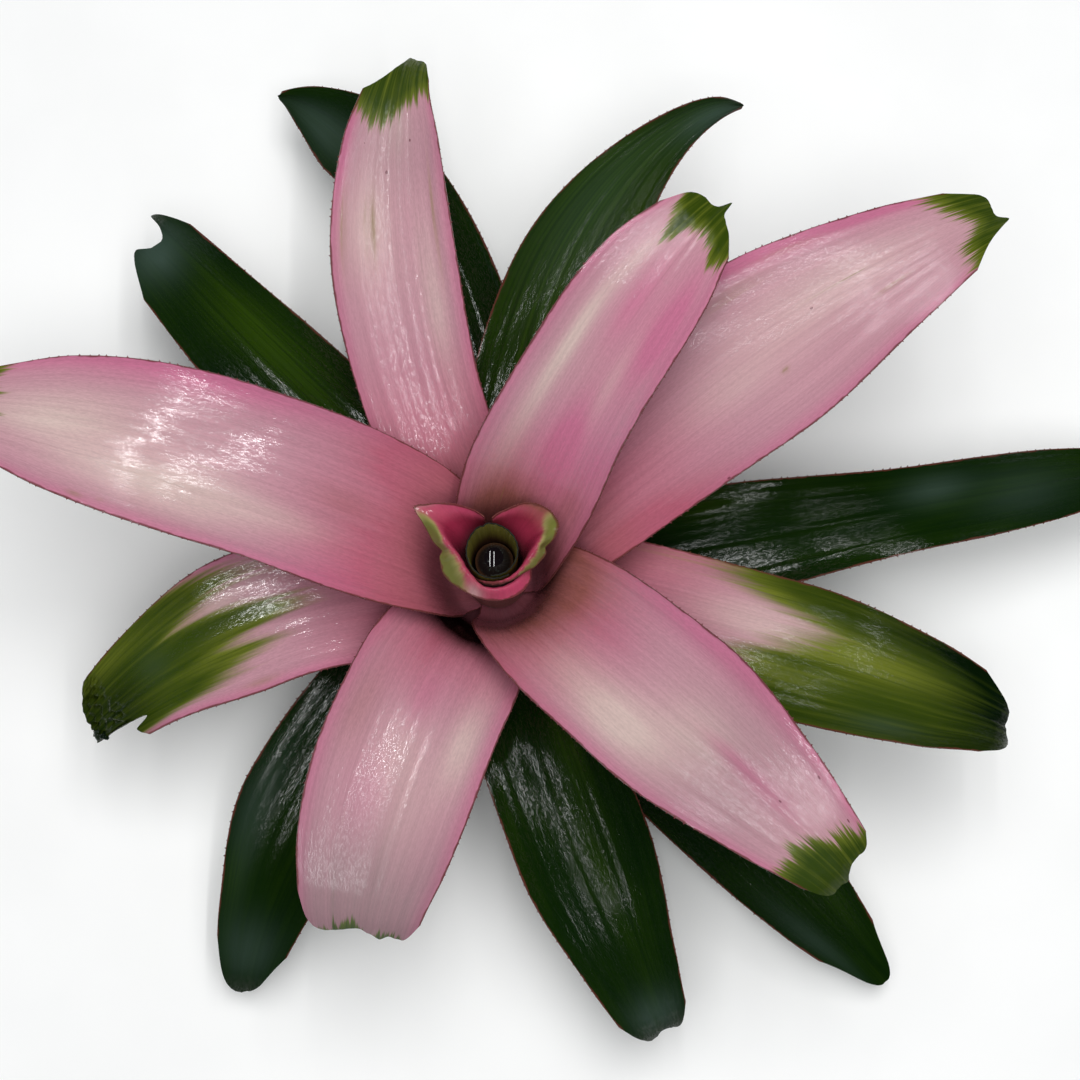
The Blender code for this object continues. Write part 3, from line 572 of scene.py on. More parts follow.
def midline(leaf, layer, s):
    """Start on the stem plus the sum of direction(s) ds, by the trapezium rule."""
    path = np.linspace(0, leaf.length, PATH_POINTS)
    ahead = direction(*headings(leaf, layer, path))
    steps = (ahead[1:] + ahead[:-1]) / 2 * (path[1] - path[0])
    height = STEM_TOP_HEIGHT - LAYER_DROP * layer
    radius = stem_radius(height) + LEAF_STAND_OFF
    angle = math.radians(leaf.azimuth)
    start = np.array([[radius * math.cos(angle), radius * math.sin(angle), height]])
    points = np.concatenate([start, start + np.cumsum(steps, 0)])
    return np.stack([np.interp(s, path, points[:, axis]) for axis in range(3)], -1)


def half_width(leaf, t):
    """Half of the curve through the widths at the stations."""
    last = leaf.end * ENDS[leaf.name][0]
    widths = (ATTACH_WIDTH, SHEATH_WIDTH, leaf.neck, leaf.middle, leaf.far, leaf.end, last)
    return through(WIDTH_STATIONS, widths, t) / 2


def leaf_grid(leaf, rows, columns):
    """Grid of (t, v): even columns that move to the places across of the leaf's end, rows cut short there.

    t = t0 - cut(v) * (t0 - 1 + reach) / reach over the last reach of the length.
    """
    t = 1 - (1 - np.linspace(0, 1, rows)[:, None]) ** ROW_CROWDING
    places, cuts = zip(*ENDS[leaf.name][1])
    even = np.linspace(-1, 1, columns)[None]
    ending = np.interp(np.linspace(0, 1, columns), np.linspace(0, 1, len(places)), places)[None]
    v = even + (ending - even) * smooth((t - CROWD_START) / CROWD_LENGTH)
    return t - through(places, cuts, v) * np.clip((t - 1 + END_REACH) / END_REACH, 0, 1), v


def blade_surface(leaf, layer, t, v):
    """Points (t, v): cone rings of the sheath that blend into arcs of bow * v across the free blade."""
    s = t * leaf.length
    points = midline(leaf, layer, s)
    pitch, yaw = headings(leaf, layer, s)
    ahead = direction(pitch, yaw)
    left = np.stack([-np.sin(yaw), np.cos(yaw), 0 * yaw], -1)
    up = np.cross(ahead, left)
    roll = np.radians(leaf.roll) * smooth((t - ROLL_START) / (1 - ROLL_START))[..., None]
    left, up = left * np.cos(roll) + up * np.sin(roll), up * np.cos(roll) - left * np.sin(roll)
    half = half_width(leaf, t)
    radius = np.hypot(points[..., 0], points[..., 1])
    wrap = half * np.sin(np.maximum(pitch, 0)) / radius
    opened = smooth((t - TROUGH_START) / (TROUGH_FULL - TROUGH_START))
    trough = np.radians(TROUGH_ANGLE) * opened * half / (leaf.middle / 2)
    bow = np.maximum(wrap + trough, FLATTEST_BOW)
    across = half * np.sin(bow * v) / bow
    ripple = leaf.wave * smooth((t - WAVE_START) / (WAVE_FULL - WAVE_START)) * np.abs(v) ** WAVE_POWER
    rise = half * (1 - np.cos(bow * v)) / bow + ripple * np.sin(2 * np.pi * s / WAVE_LENGTH + WAVE_LAG * v)
    blade = points + left * across[..., None] + up * rise[..., None]
    angle = np.radians(leaf.azimuth) + v * np.minimum(half / radius, WIDEST_WRAP)
    sheath = np.stack([radius * np.cos(angle), radius * np.sin(angle), points[..., 2]], -1)
    free = smooth((s - leaf.bend + FREE_BEFORE_BEND) / FREE_LENGTH)[..., None]
    return sheath * (1 - free) + blade * free


def relief(leaf, t, v, seed):
    """Height above the smooth blade: -groove * exp(-(v / w)^2), plus sines of t and v as ribs and swells."""
    rng = np.random.default_rng(seed)
    open_blade = smooth((t - TROUGH_START) / (TROUGH_FULL - TROUGH_START))
    groove = np.exp(-((v / GROOVE_WIDTH) ** 2))
    height = -GROOVE_DEPTH * groove * (GROOVE_IN_SHEATH + (1 - GROOVE_IN_SHEATH) * open_blade)
    for ribs in RIBS:
        phase, drift = rng.uniform(0, 2 * np.pi), rng.uniform(-RIB_DRIFT, RIB_DRIFT)
        height = height + RIB_HEIGHT * np.sin(np.pi * ribs * v + phase + drift * t)
    for _ in range(SWELLS):
        phase, across = rng.uniform(0, 2 * np.pi), rng.uniform(-SWELL_SLANT, SWELL_SLANT)
        length = rng.uniform(*SWELL_LENGTHS)
        wave = np.sin(2 * np.pi * t * leaf.length / length + across * v + phase)
        height = height + SWELL_HEIGHT * open_blade * wave / math.sqrt(SWELLS)
    if leaf.name in WITHERED:
        crumpled = ramp(t, WITHERED[leaf.name], WITHER_RISE) * WITHER_HEIGHT / math.sqrt(WITHER_FOLDS)
        for _ in range(WITHER_FOLDS):
            phase, turn = rng.uniform(0, 2 * np.pi, 2)
            wave = 2 * np.pi / rng.uniform(*WITHER_LENGTHS)
            reach = t * leaf.length * math.cos(turn) + v * leaf.end / 2 * math.sin(turn)
            height = height + crumpled * np.sin(wave * reach + phase)
    return height


def leaning(height):
    """The middle's lean at a height: lean * smooth((height - start) / length)."""
    share = ramp(height, MIDDLE_LEAN_START, MIDDLE_LEAN_LENGTH)
    return MIDDLE_LEAN[0] * share, MIDDLE_LEAN[1] * share


def cup_surface(cup, rows, columns):
    """Hermite curve of radius and height from base to lip at each angle, swept round the leaning middle."""
    angles, *edges = zip(*cup.ribs)
    angle = np.linspace(angles[0], angles[-1], columns)
    fold_radius, fold_height, lip_radius, lip_height = (through(angles, edge, angle) for edge in edges)
    widening = cup.spiral * np.linspace(0, 1, columns)
    rings = [(np.full(columns, radius), np.full(columns, height)) for radius, height in cup.rings]
    rings = rings[:1] + [(radius + widening, height) for radius, height in rings[1:]]
    knots = np.array([*rings, (fold_radius, fold_height), (lip_radius, lip_height)])
    slopes = np.gradient(knots, axis=0)
    place = np.linspace(0, len(knots) - 1, rows)
    i = np.clip(place.astype(int), 0, len(knots) - 2)
    t = (place - i)[:, None, None]
    start = (1 + 2 * t) * (1 - t) ** 2 * knots[i] + t * (1 - t) ** 2 * slopes[i]
    finish = t * t * (3 - 2 * t) * knots[i + 1] + t * t * (t - 1) * slopes[i + 1]
    radius, height = np.moveaxis(start + finish, 1, 0)
    share = np.linspace(0, 1, rows)[:, None]
    for where, wide, depth in cup.creases:
        radius = radius - depth * np.exp(-(((angle - where) / wide) ** 2)) * ramp(share, *CREASE_RISE)
    east, north = leaning(height)
    turn = np.radians(angle)
    return np.stack([radius * np.cos(turn) + east, radius * np.sin(turn) + north, height], -1), share, angle


def unit(vectors):
    """Vectors over their lengths."""
    return vectors / np.maximum(np.linalg.norm(vectors, axis=-1, keepdims=True), 1e-12)


def sheet_normals(grid):
    """Cross product of the steps along and across the grid, of length one."""
    return unit(np.cross(np.gradient(grid, axis=0), np.gradient(grid, axis=1)))


class Shape:
    """Vertices, faces and point values of one piece, gathered part by part."""

    def __init__(self):
        self.points = []
        self.faces = []
        self.values = {}
        self.count = 0

    def add(self, points, faces, **values):
        """Adds a part; each value is one number or a row of numbers for each of its points."""
        points = np.asarray(points, float).reshape(-1, 3)
        self.points.append(points)
        self.faces.extend([corner + self.count for corner in face] for face in map(list, faces))
        for name, value in values.items():
            value = np.asarray(value, float)
            wide = WIDTHS.get(name, 1)
            rows = np.broadcast_to(value.reshape(-1, wide), (len(points), wide))
            self.values.setdefault(name, []).append(rows)
        self.count += len(points)

    def build(self, name, material, crease=40):
        """The object, at the origin, with the values as attributes and "place" as its UV map."""
        mesh = bpy.data.meshes.new(name)
        mesh.from_pydata(np.concatenate(self.points).tolist(), [], self.faces)
        mesh.validate()
        for key, parts in self.values.items():
            value = np.concatenate(parts)
            if key == "place":
                layer = mesh.uv_layers.new(name="place")
                corners = np.empty(len(mesh.loops), np.int32)
                mesh.loops.foreach_get("vertex_index", corners)
                layer.uv.foreach_set("vector", value[corners].astype(np.float32).ravel())
            else:
                kind, field = ("FLOAT", "value") if value.shape[1] == 1 else ("FLOAT_VECTOR", "vector")
                attribute = mesh.attributes.new(key, kind, "POINT")
                attribute.data.foreach_set(field, value.astype(np.float32).ravel())
        mesh.shade_smooth()
        mesh.set_sharp_from_angle(angle=math.radians(crease))
        mesh.materials.append(material)
        made = bpy.data.objects.new(name, mesh)
        bpy.context.collection.objects.link(made)
        return made


def quads(grid):
    """Faces between the rows and columns of a grid of vertex numbers: (i, j), (i + 1, j), and so round."""
    corners = (grid[:-1, :-1], grid[1:, :-1], grid[1:, 1:], grid[:-1, 1:])
    return np.stack([corner.ravel() for corner in corners], 1)


def ring_quads(rings, sides):
    """Faces between closed rings of points: the quads of a grid whose first column comes again."""
    grid = np.arange(rings * sides).reshape(rings, sides)
    return quads(np.concatenate([grid, grid[:, :1]], 1))


def sheet_faces(rows, columns):
    """Quads of a closed sheet whose upper grid comes first and whose lower grid follows, walls and all."""
    grid = np.arange(rows * columns).reshape(rows, columns)
    below = rows * columns
    top = quads(grid)
    bottom = top[:, ::-1] + below
    rim = np.concatenate([grid[:, 0], grid[-1, 1:], grid[-2::-1, -1], grid[0, -2:0:-1]])
    after = np.roll(rim, -1)
    wall = np.stack([after, rim, rim + below, after + below], 1)
    return np.concatenate([top, bottom, wall])


def sheet(grid, normal, thickness, place, rim, paint):
    """A closed sheet: grid +- normal * thickness / 2, with the same values on its upper and lower faces."""
    offset = normal * thickness[..., None] / 2
    values = {"place": place, "rim": rim[..., None], **paint}
    shape = Shape()
    shape.add(
        np.concatenate([(grid + offset).reshape(-1, 3), (grid - offset).reshape(-1, 3)]),
        sheet_faces(*rim.shape),
        under=np.repeat([0.0, 1.0], rim.size),
        **{key: np.concatenate([value.reshape(-1, value.shape[-1])] * 2) for key, value in values.items()},
    )
    return shape


def spines(edge, inner, normal, spacing, height, first, last, rng):
    """Four-sided teeth on a margin: foot centre + outward * height + ahead * lean, every spacing along it.

    edge and inner are the margin and a line inside it; first and last are shares of its length.
    """
    steps = np.linalg.norm(np.diff(edge, axis=0), axis=1)
    along = np.concatenate([[0], np.cumsum(steps)])
    places = np.arange(first * along[-1], last * along[-1], spacing)
    places = places + rng.uniform(-SPINE_SHIFT, SPINE_SHIFT, len(places)) * spacing
    size = height * rng.uniform(*SPINE_SIZES, len(places))[:, None]

    def at(line):
        """A line's points at the places along the margin."""
        return np.stack([np.interp(places, along, line[:, axis]) for axis in range(3)], -1)

    foot = at(edge)
    outward = unit(foot - at(inner))
    ahead = unit(at(np.gradient(edge, axis=0)))
    up = unit(at(normal))
    sunk = foot - outward * size * SPINE_SUNK
    corners = (
        sunk - ahead * size * SPINE_BACK,
        sunk + up * size * SPINE_HALF_THICKNESS,
        sunk + ahead * size * SPINE_FRONT,
        sunk - up * size * SPINE_HALF_THICKNESS,
    )
    point = foot + outward * size * SPINE_REACH + ahead * size * SPINE_LEAN
    points = np.stack([*corners, point], 1)
    one = np.array([[0, 1, 4], [1, 2, 4], [2, 3, 4], [3, 0, 4], [0, 3, 2], [0, 2, 1]])
    faces = one[None] + 5 * np.arange(len(places))[:, None, None]
    inside_out = np.einsum("ij,ij->i", np.cross(ahead, up), outward) > 0
    faces[inside_out] = faces[inside_out][:, :, ::-1]
    return points.reshape(-1, 3), faces.reshape(-1, 3), np.repeat(places, 5)


def leaf_paint(name, t, v):
    """The masks that colour a strap leaf at every (t, v): its patches, and a soft step for each kind.

    The green is (t - start(v)) / softness + 0.5, and the curled end is matt.
    """
    masks = spots(name, t, v)
    masks["cream"] += ramp(t, *CREAM_BLADE) * (1 - v**2)
    masks["magenta"] += ramp(np.abs(v), *MAGENTA_MARGIN)
    masks["rose"] += ramp(t, *ROSE_FOOT)
    masks["tan"] += ramp(t, *TAN_FOOT)
    masks["matt"] += ramp(np.linspace(0, 1, len(t))[:, None], *MATT_END)
    if name in GREEN_FROM:
        places, starts = zip(*GREEN_FROM[name])
        masks["green"] = (t - through(places, starts, v)) / GREEN_SOFTNESS.get(name, CAP_SOFTNESS) + 0.5
    else:
        masks["green"] = np.ones_like(t)
    masks = {kind: np.clip(mask, 0, 1 if kind in FULL_MASKS else MOST_PAINT) for kind, mask in masks.items()}
    # Painted shade at the foot, where it lies deep between the other leaves
    masks["dark"] += ramp(t, *PAINTED_SHADE_FOOT, FOOT_SHADES.get(name, FOOT_SHADE))
    return packed(masks)


def lump(centre, radius, rng):
    """A knobbly ball: radius * (1 + knobs * sines of its two angles), its poles closed."""
    rings = np.linspace(LUMP_POLE, np.pi - LUMP_POLE, LUMP_RINGS)
    turns = np.linspace(0, 2 * np.pi, LUMP_SIDES, endpoint=False)
    ring, turn = np.meshgrid(rings, turns, indexing="ij")
    phase = rng.uniform(0, 2 * np.pi, 2)
    knob = radius * (1 + LUMP_KNOBS * np.sin(3 * turn + phase[0]) * np.sin(2 * ring + phase[1]))
    out, up = knob * np.sin(ring), knob * LUMP_HEIGHT * np.cos(ring)
    points = centre + np.stack([out * np.cos(turn), out * np.sin(turn), up], -1)
    walls = ring_quads(LUMP_RINGS, LUMP_SIDES).tolist()
    last = ring.size - LUMP_SIDES
    caps = [[0, side, side + 1] for side in range(1, LUMP_SIDES - 1)]
    caps += [[last, last + side + 1, last + side] for side in range(1, LUMP_SIDES - 1)]
    return points.reshape(-1, 3), [*walls, *caps]


def nearest_lines(places, lines):
    """The number of the grid line at each place: place / last place * (lines - 1), rounded down."""
    return np.clip((places / places.max() * (lines - 1)).astype(int), 0, lines - 1)


def make_leaf(leaf, layer, material, sizes):
    """One strap leaf: grid of (t, v) with relief, thinned to its margins, and spines along both."""
    t, v = leaf_grid(leaf, BLADE_ROWS, BLADE_COLUMNS)
    grid = blade_surface(leaf, layer, t, v)
    normal = sheet_normals(grid)
    grid = grid + normal * relief(leaf, t, v, layer)[..., None]
    thickness = sizes.edge_thickness + (MIDDLE_THICKNESS - sizes.edge_thickness) * (1 - v**2)
    paint = leaf_paint(leaf.name, t, v)
    place = np.stack([v * leaf.middle / 2, t * leaf.length], -1)
    rim = half_width(leaf, t) * (1 - np.abs(v))
    shape = sheet(grid, normal, thickness, place, rim, paint)
    rng = np.random.default_rng(FIRST_SPINE_SEED + layer)
    for edge, inner in MARGIN_COLUMNS:
        points, faces, places = spines(
            grid[:, edge], grid[:, inner], normal[:, edge], sizes.spine_spacing, sizes.spine_height,
            *LEAF_SPINES, rng,
        )
        nearest = nearest_lines(places, BLADE_ROWS)
        shape.add(
            points, faces,
            place=np.stack([np.full(len(points), place[0, edge, 0]), places], -1),
            rim=0.0,
            under=0.0,
            **{key: value[nearest, edge] for key, value in paint.items()},
        )
    for at, across, radius in ROT_LUMPS if leaf.name in WITHERED else ():
        nearest = np.argmin(((t - at) * leaf.length) ** 2 + ((v - across) * leaf.end / 2) ** 2)
        points, faces = lump(grid.reshape(-1, 3)[nearest], radius, rng)
        shape.add(
            points, faces, place=place.reshape(-1, 2)[nearest], rim=1.0, under=0.0, matt=LUMP_MATT,
            blush=(0, 0, 0), cover=(1, 0, 0), tone=(0, 0, MOST_PAINT),
        )
    made = shape.build(leaf.name + "_fine", material)
    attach(made, "root")
    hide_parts(leaf.name)
    return made


def make_cup(cup, material, sizes, toothed):
    """A bract or the tube leaf as a thin sheet with fine wrinkles, and teeth along a bract's lip.

    wrinkle = height * sin(waves * angle + drift * share of the height), on the upper part.
    """
    grid, share, angle = cup_surface(cup, CUP_ROWS, CUP_COLUMNS)
    share, angle = (np.array(part) for part in np.broadcast_arrays(share, angle[None]))
    normal = sheet_normals(grid)
    wave = np.sin(np.radians(angle) * WRINKLES + WRINKLE_DRIFT * share)
    grid = grid + normal * (WRINKLE_HEIGHT * wave * ramp(share, *WRINKLE_RISE))[..., None]
    thickness = CUP_THICKNESS * (1 - ramp(share, *LIP_THINNING))
    name = cup.name
    paint = packed({kind: np.clip(mask, 0, MOST_PAINT) for kind, mask in spots(name, share, angle).items()})
    lengths = np.linalg.norm(np.diff(grid, axis=0), axis=-1)
    up = np.concatenate([np.zeros((1, CUP_COLUMNS)), np.cumsum(lengths, 0)])
    place = np.stack([np.radians(angle) * CUP_PATTERN_RADIUS, up], -1)
    shape = sheet(grid, normal, thickness, place, up[-1:] - up, paint)
    if toothed:
        points, faces, places = spines(
            grid[-1], grid[BRACT_LIP_INSIDE], normal[-1], sizes.bract_spine_spacing,
            sizes.bract_spine_height, *BRACT_SPINES, np.random.default_rng(len(name)),
        )
        nearest = nearest_lines(places, CUP_COLUMNS)
        shape.add(
            points, faces, place=place[-1, nearest], rim=0.0, under=0.0,
            **{key: value[-1, nearest] for key, value in paint.items()},
        )
    made = shape.build(name + "_fine", material)
    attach(made, "root")
    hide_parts(name)
    return made


class Nodes:
    """Adds nodes to a tree; an input may be a number, a colour or another node's output."""

    def __init__(self, tree):
        self.tree = tree

    def add(self, kind, inputs=None, **settings):
        """A node of one kind with its settings and inputs."""
        made = self.tree.nodes.new(kind)
        for name, value in settings.items():
            setattr(made, name, value)
        for key, value in (inputs or {}).items():
            self.give(made.inputs[key], value)
        return made

    def give(self, socket, value):
        """Links another node's output to the socket, or sets it to a number or colour."""
        if isinstance(value, bpy.types.NodeSocket):
            self.tree.links.new(value, socket)
        else:
            socket.default_value = value

    def maths(self, operation, *values, clamp=False):
        """One operation on the values, such as their product."""
        made = self.add("ShaderNodeMath", dict(enumerate(values)), operation=operation, use_clamp=clamp)
        return made.outputs[0]

    def mix(self, share, low, high, blend="MIX"):
        """low * (1 - share) + high * share, or another blend of the two colours."""
        low, high = (c if isinstance(c, bpy.types.NodeSocket) else (*c[:3], 1) for c in (low, high))
        inputs = {0: share, 6: low, 7: high}
        return self.add("ShaderNodeMix", inputs, data_type="RGBA", blend_type=blend).outputs[2]

    def washed(self, colour, *washes):
        """The colour mixed with each wash in turn, where a wash is (mask, strength, tint)."""
        for mask, strength, tint in washes:
            colour = self.mix(self.maths("MULTIPLY", mask, strength), colour, tint)
        return colour

    def lit(self, colour, light):
        """colour * light."""
        grey = self.add("ShaderNodeCombineXYZ", {0: light, 1: light, 2: light}).outputs[0]
        return self.mix(1.0, colour, grey, "MULTIPLY")

    def step(self, value, low, high, to_low=0.0, to_high=1.0):
        """to_low + (to_high - to_low) * smooth((value - low) / (high - low))."""
        inputs = {"Value": value, "From Min": low, "From Max": high, "To Min": to_low, "To Max": to_high}
        return self.add("ShaderNodeMapRange", inputs, interpolation_type="SMOOTHSTEP").outputs[0]

    def stretched(self, place, across, along, seed):
        """(across * x, along * y, seed): a pattern's space, drawn out along the leaf."""
        parts = self.add("ShaderNodeSeparateXYZ", {0: place})
        wide = self.maths("MULTIPLY", parts.outputs[0], across)
        long = self.maths("MULTIPLY", parts.outputs[1], along)
        return self.add("ShaderNodeCombineXYZ", {0: wide, 1: long, 2: seed}).outputs[0]

    def noise(self, vector, scale, detail, roughness=0.5):
        """Layered noise between 0 and 1."""
        inputs = {"Vector": vector, "Scale": scale, "Detail": detail, "Roughness": roughness}
        return self.add("ShaderNodeTexNoise", inputs).outputs["Fac"]

    def pattern(self, place, seed, across, along, detail, roughness):
        """Noise in the stretched space of a leaf."""
        return self.noise(self.stretched(place, across, along, seed), 1.0, detail, roughness)

    def place(self):
        """The piece's own "place" map, in metres across and along it."""
        return self.add("ShaderNodeUVMap", uv_map="place").outputs[0]

    def single(self, name):
        """A point value of one number."""
        return self.add("ShaderNodeAttribute", attribute_name=name).outputs["Fac"]

    def triple(self, name):
        """The three numbers of a point value."""
        vector = self.add("ShaderNodeAttribute", attribute_name=name).outputs["Vector"]
        return self.add("ShaderNodeSeparateXYZ", {0: vector}).outputs

    def bump(self, shader, strength, distance, height):
        """Tilts the shader's normal by the slope of a height, which spans the distance."""
        inputs = {"Strength": strength, "Distance": distance, "Height": height}
        self.give(shader["Normal"], self.add("ShaderNodeBump", inputs).outputs[0])


def new_group(name, inputs, outputs):
    """An empty shader group with named sockets; returns it, its Nodes, its inputs and its output node."""
    group = bpy.data.node_groups.new(name, "ShaderNodeTree")
    for way, sockets in (("INPUT", inputs), ("OUTPUT", outputs)):
        for socket, kind in sockets.items():
            group.interface.new_socket(name=socket, in_out=way, socket_type="NodeSocket" + kind)
    nodes = Nodes(group)
    return group, nodes, nodes.add("NodeGroupInput").outputs, nodes.add("NodeGroupOutput")


# Patterns of a leaf's skin: how fine across and along it for each metre, detail, roughness, and their share
# in its relief
GRAIN = {
    "Lines": (1100, 9, 2, 0.6, 0.25),
    "Streaks": (420, 14, 3, 0.65, None),
    "Blotches": (75, 22, 3, 0.55, None),
    "Cells": (2500, 620, 2, 0.6, 0.14),
    "Dimples": (2300, 480, 2, 0.6, 0.55),
}
MARGIN_PATTERN = (300, 160, 2, 0.6)
BAND_PATTERN = (40, 210, 2, 0.5)
GLINT_PATTERN = (2300, 520, 1, 0.5)
SPECK_CELLS = (95, 70)  # cells for each metre across the leaf and along it
SPECK_SIZES = (0.018, 0.055)  # in shares of a cell


def grain_group():
    """Fine lines along a leaf, streaks and blotches drawn out along it, and the relief of its skin.

    relief = the sum of share * pattern.
    """
    outputs = ("Lines", "Streaks", "Blotches", "Cells", "Relief")
    group, nodes, given, out = new_group(
        "Leaf grain", {"Place": "Vector", "Seed": "Float"}, dict.fromkeys(outputs, "Float")
    )
    height = 0.0
    for name, (*pattern, share) in GRAIN.items():
        value = nodes.pattern(given["Place"], given["Seed"], *pattern)
        if name in outputs:
            nodes.give(out.inputs[name], value)
        if share:
            height = nodes.maths("MULTIPLY_ADD", value, share, height)
    nodes.give(out.inputs["Relief"], height)
    return group


def margin_group():
    """The dark line along a leaf's margin: full up to 0.35 of its uneven width, and gone past that width."""
    group, nodes, given, out = new_group(
        "Leaf margin",
        {"Place": "Vector", "Rim": "Float", "Width": "Float", "Seed": "Float"},
        {"Mask": "Float"},
    )
    uneven = nodes.pattern(given["Place"], given["Seed"], *MARGIN_PATTERN)
    width = nodes.maths("MULTIPLY", given["Width"], nodes.step(uneven, 0.30, 0.70, 0.35, 1.5))
    share = nodes.maths("DIVIDE", given["Rim"], width)
    nodes.give(out.inputs["Mask"], nodes.step(share, 1.0, 0.35))
    return group


def specks_group():
    """Scattered small dark specks: where the distance from a chosen cell's middle is under its own size."""
    group, nodes, given, out = new_group(
        "Leaf specks", {"Place": "Vector", "Seed": "Float", "Share": "Float"}, {"Mask": "Float"}
    )
    vector = nodes.stretched(given["Place"], *SPECK_CELLS, given["Seed"])
    cells = nodes.add("ShaderNodeTexVoronoi", {"Vector": vector, "Scale": 1.0, "Randomness": 1.0})
    colour = nodes.add("ShaderNodeSeparateColor", {0: cells.outputs["Color"]})
    size = nodes.step(colour.outputs[1], 0.0, 1.0, *SPECK_SIZES)
    near = nodes.maths("LESS_THAN", cells.outputs["Distance"], size)
    chosen = nodes.maths("LESS_THAN", colour.outputs[0], given["Share"])
    nodes.give(out.inputs["Mask"], nodes.maths("MULTIPLY", near, chosen))
    return group


def green_group():
    """The green of a leaf: a soft step of the field, broken up by streaks and lines.

    It is yellow-green where it starts, deeper inwards, and striped along the leaf.
    """
    floats = ("Field", "Lines", "Streaks", "Blotches", "Yellow", "Dark", "Ragged", "Soft")
    tints = ("Light green", "Mid green", "Dark green")
    group, nodes, given, out = new_group(
        "Leaf green",
        {**dict.fromkeys(floats, "Float"), **dict.fromkeys(tints, "Color")},
        {"Colour": "Color", "Mask": "Float"},
    )

    def uneven(pattern, amount):
        """(pattern - 0.5) * amount."""
        return nodes.maths("MULTIPLY", nodes.maths("SUBTRACT", given[pattern], 0.5), amount)

    rough = nodes.maths("ADD", given["Field"], uneven("Streaks", given["Ragged"]))
    field = nodes.maths("ADD", rough, uneven("Lines", nodes.maths("MULTIPLY", given["Ragged"], FINE_RAGGED)))
    low, high = (nodes.maths(side, 0.5, given["Soft"]) for side in ("SUBTRACT", "ADD"))
    depth = nodes.maths("ADD", field, uneven("Blotches", 0.5))
    lightness = nodes.maths("ADD", nodes.step(depth, 1.15, 0.45), given["Yellow"], clamp=True)
    striped = nodes.maths("MULTIPLY", lightness, nodes.step(given["Lines"], 0.32, 0.62, 0.45, 1.0))
    colour = nodes.mix(striped, given["Mid green"], given["Light green"])
    darkness = nodes.maths("MULTIPLY", given["Dark"], nodes.step(given["Streaks"], 0.25, 0.75, 0.6, 1.0))
    nodes.give(out.inputs["Colour"], nodes.mix(darkness, colour, given["Dark green"]))
    nodes.give(out.inputs["Mask"], nodes.step(field, low, high))
    return group


GROUPS = {"grain": grain_group, "margin": margin_group, "specks": specks_group, "green": green_group}
made_groups = {}


def use_group(nodes, name, inputs):
    """A node of a shared group, which is built the first time it is asked for."""
    if name not in made_groups:
        made_groups[name] = GROUPS[name]()
    node = nodes.add("ShaderNodeGroup", node_tree=made_groups[name])
    for key, value in inputs.items():
        nodes.give(node.inputs[key], (*value, 1) if isinstance(value, tuple) else value)
    return node.outputs


def new_material(name):
    """A material with a Principled shader; returns it, its Nodes and the shader's inputs."""
    material = bpy.data.materials.new(name)
    material.use_nodes = True
    shader = material.node_tree.nodes["Principled BSDF"]
    return material, Nodes(material.node_tree), shader.inputs


class Skin(NamedTuple):
    """What differs between the skins of leaves.

    Besides the colours, these are how ragged and soft the edge of the green is, how many of the cells have
    a speck, the shine of the glints, and the width of the dark line along a margin.
    """

    blade: tuple
    cream: tuple
    magenta: tuple
    rose: tuple
    light: tuple
    mid: tuple
    ragged: float
    soft: float
    specks: float
    shine: float
    rim: float


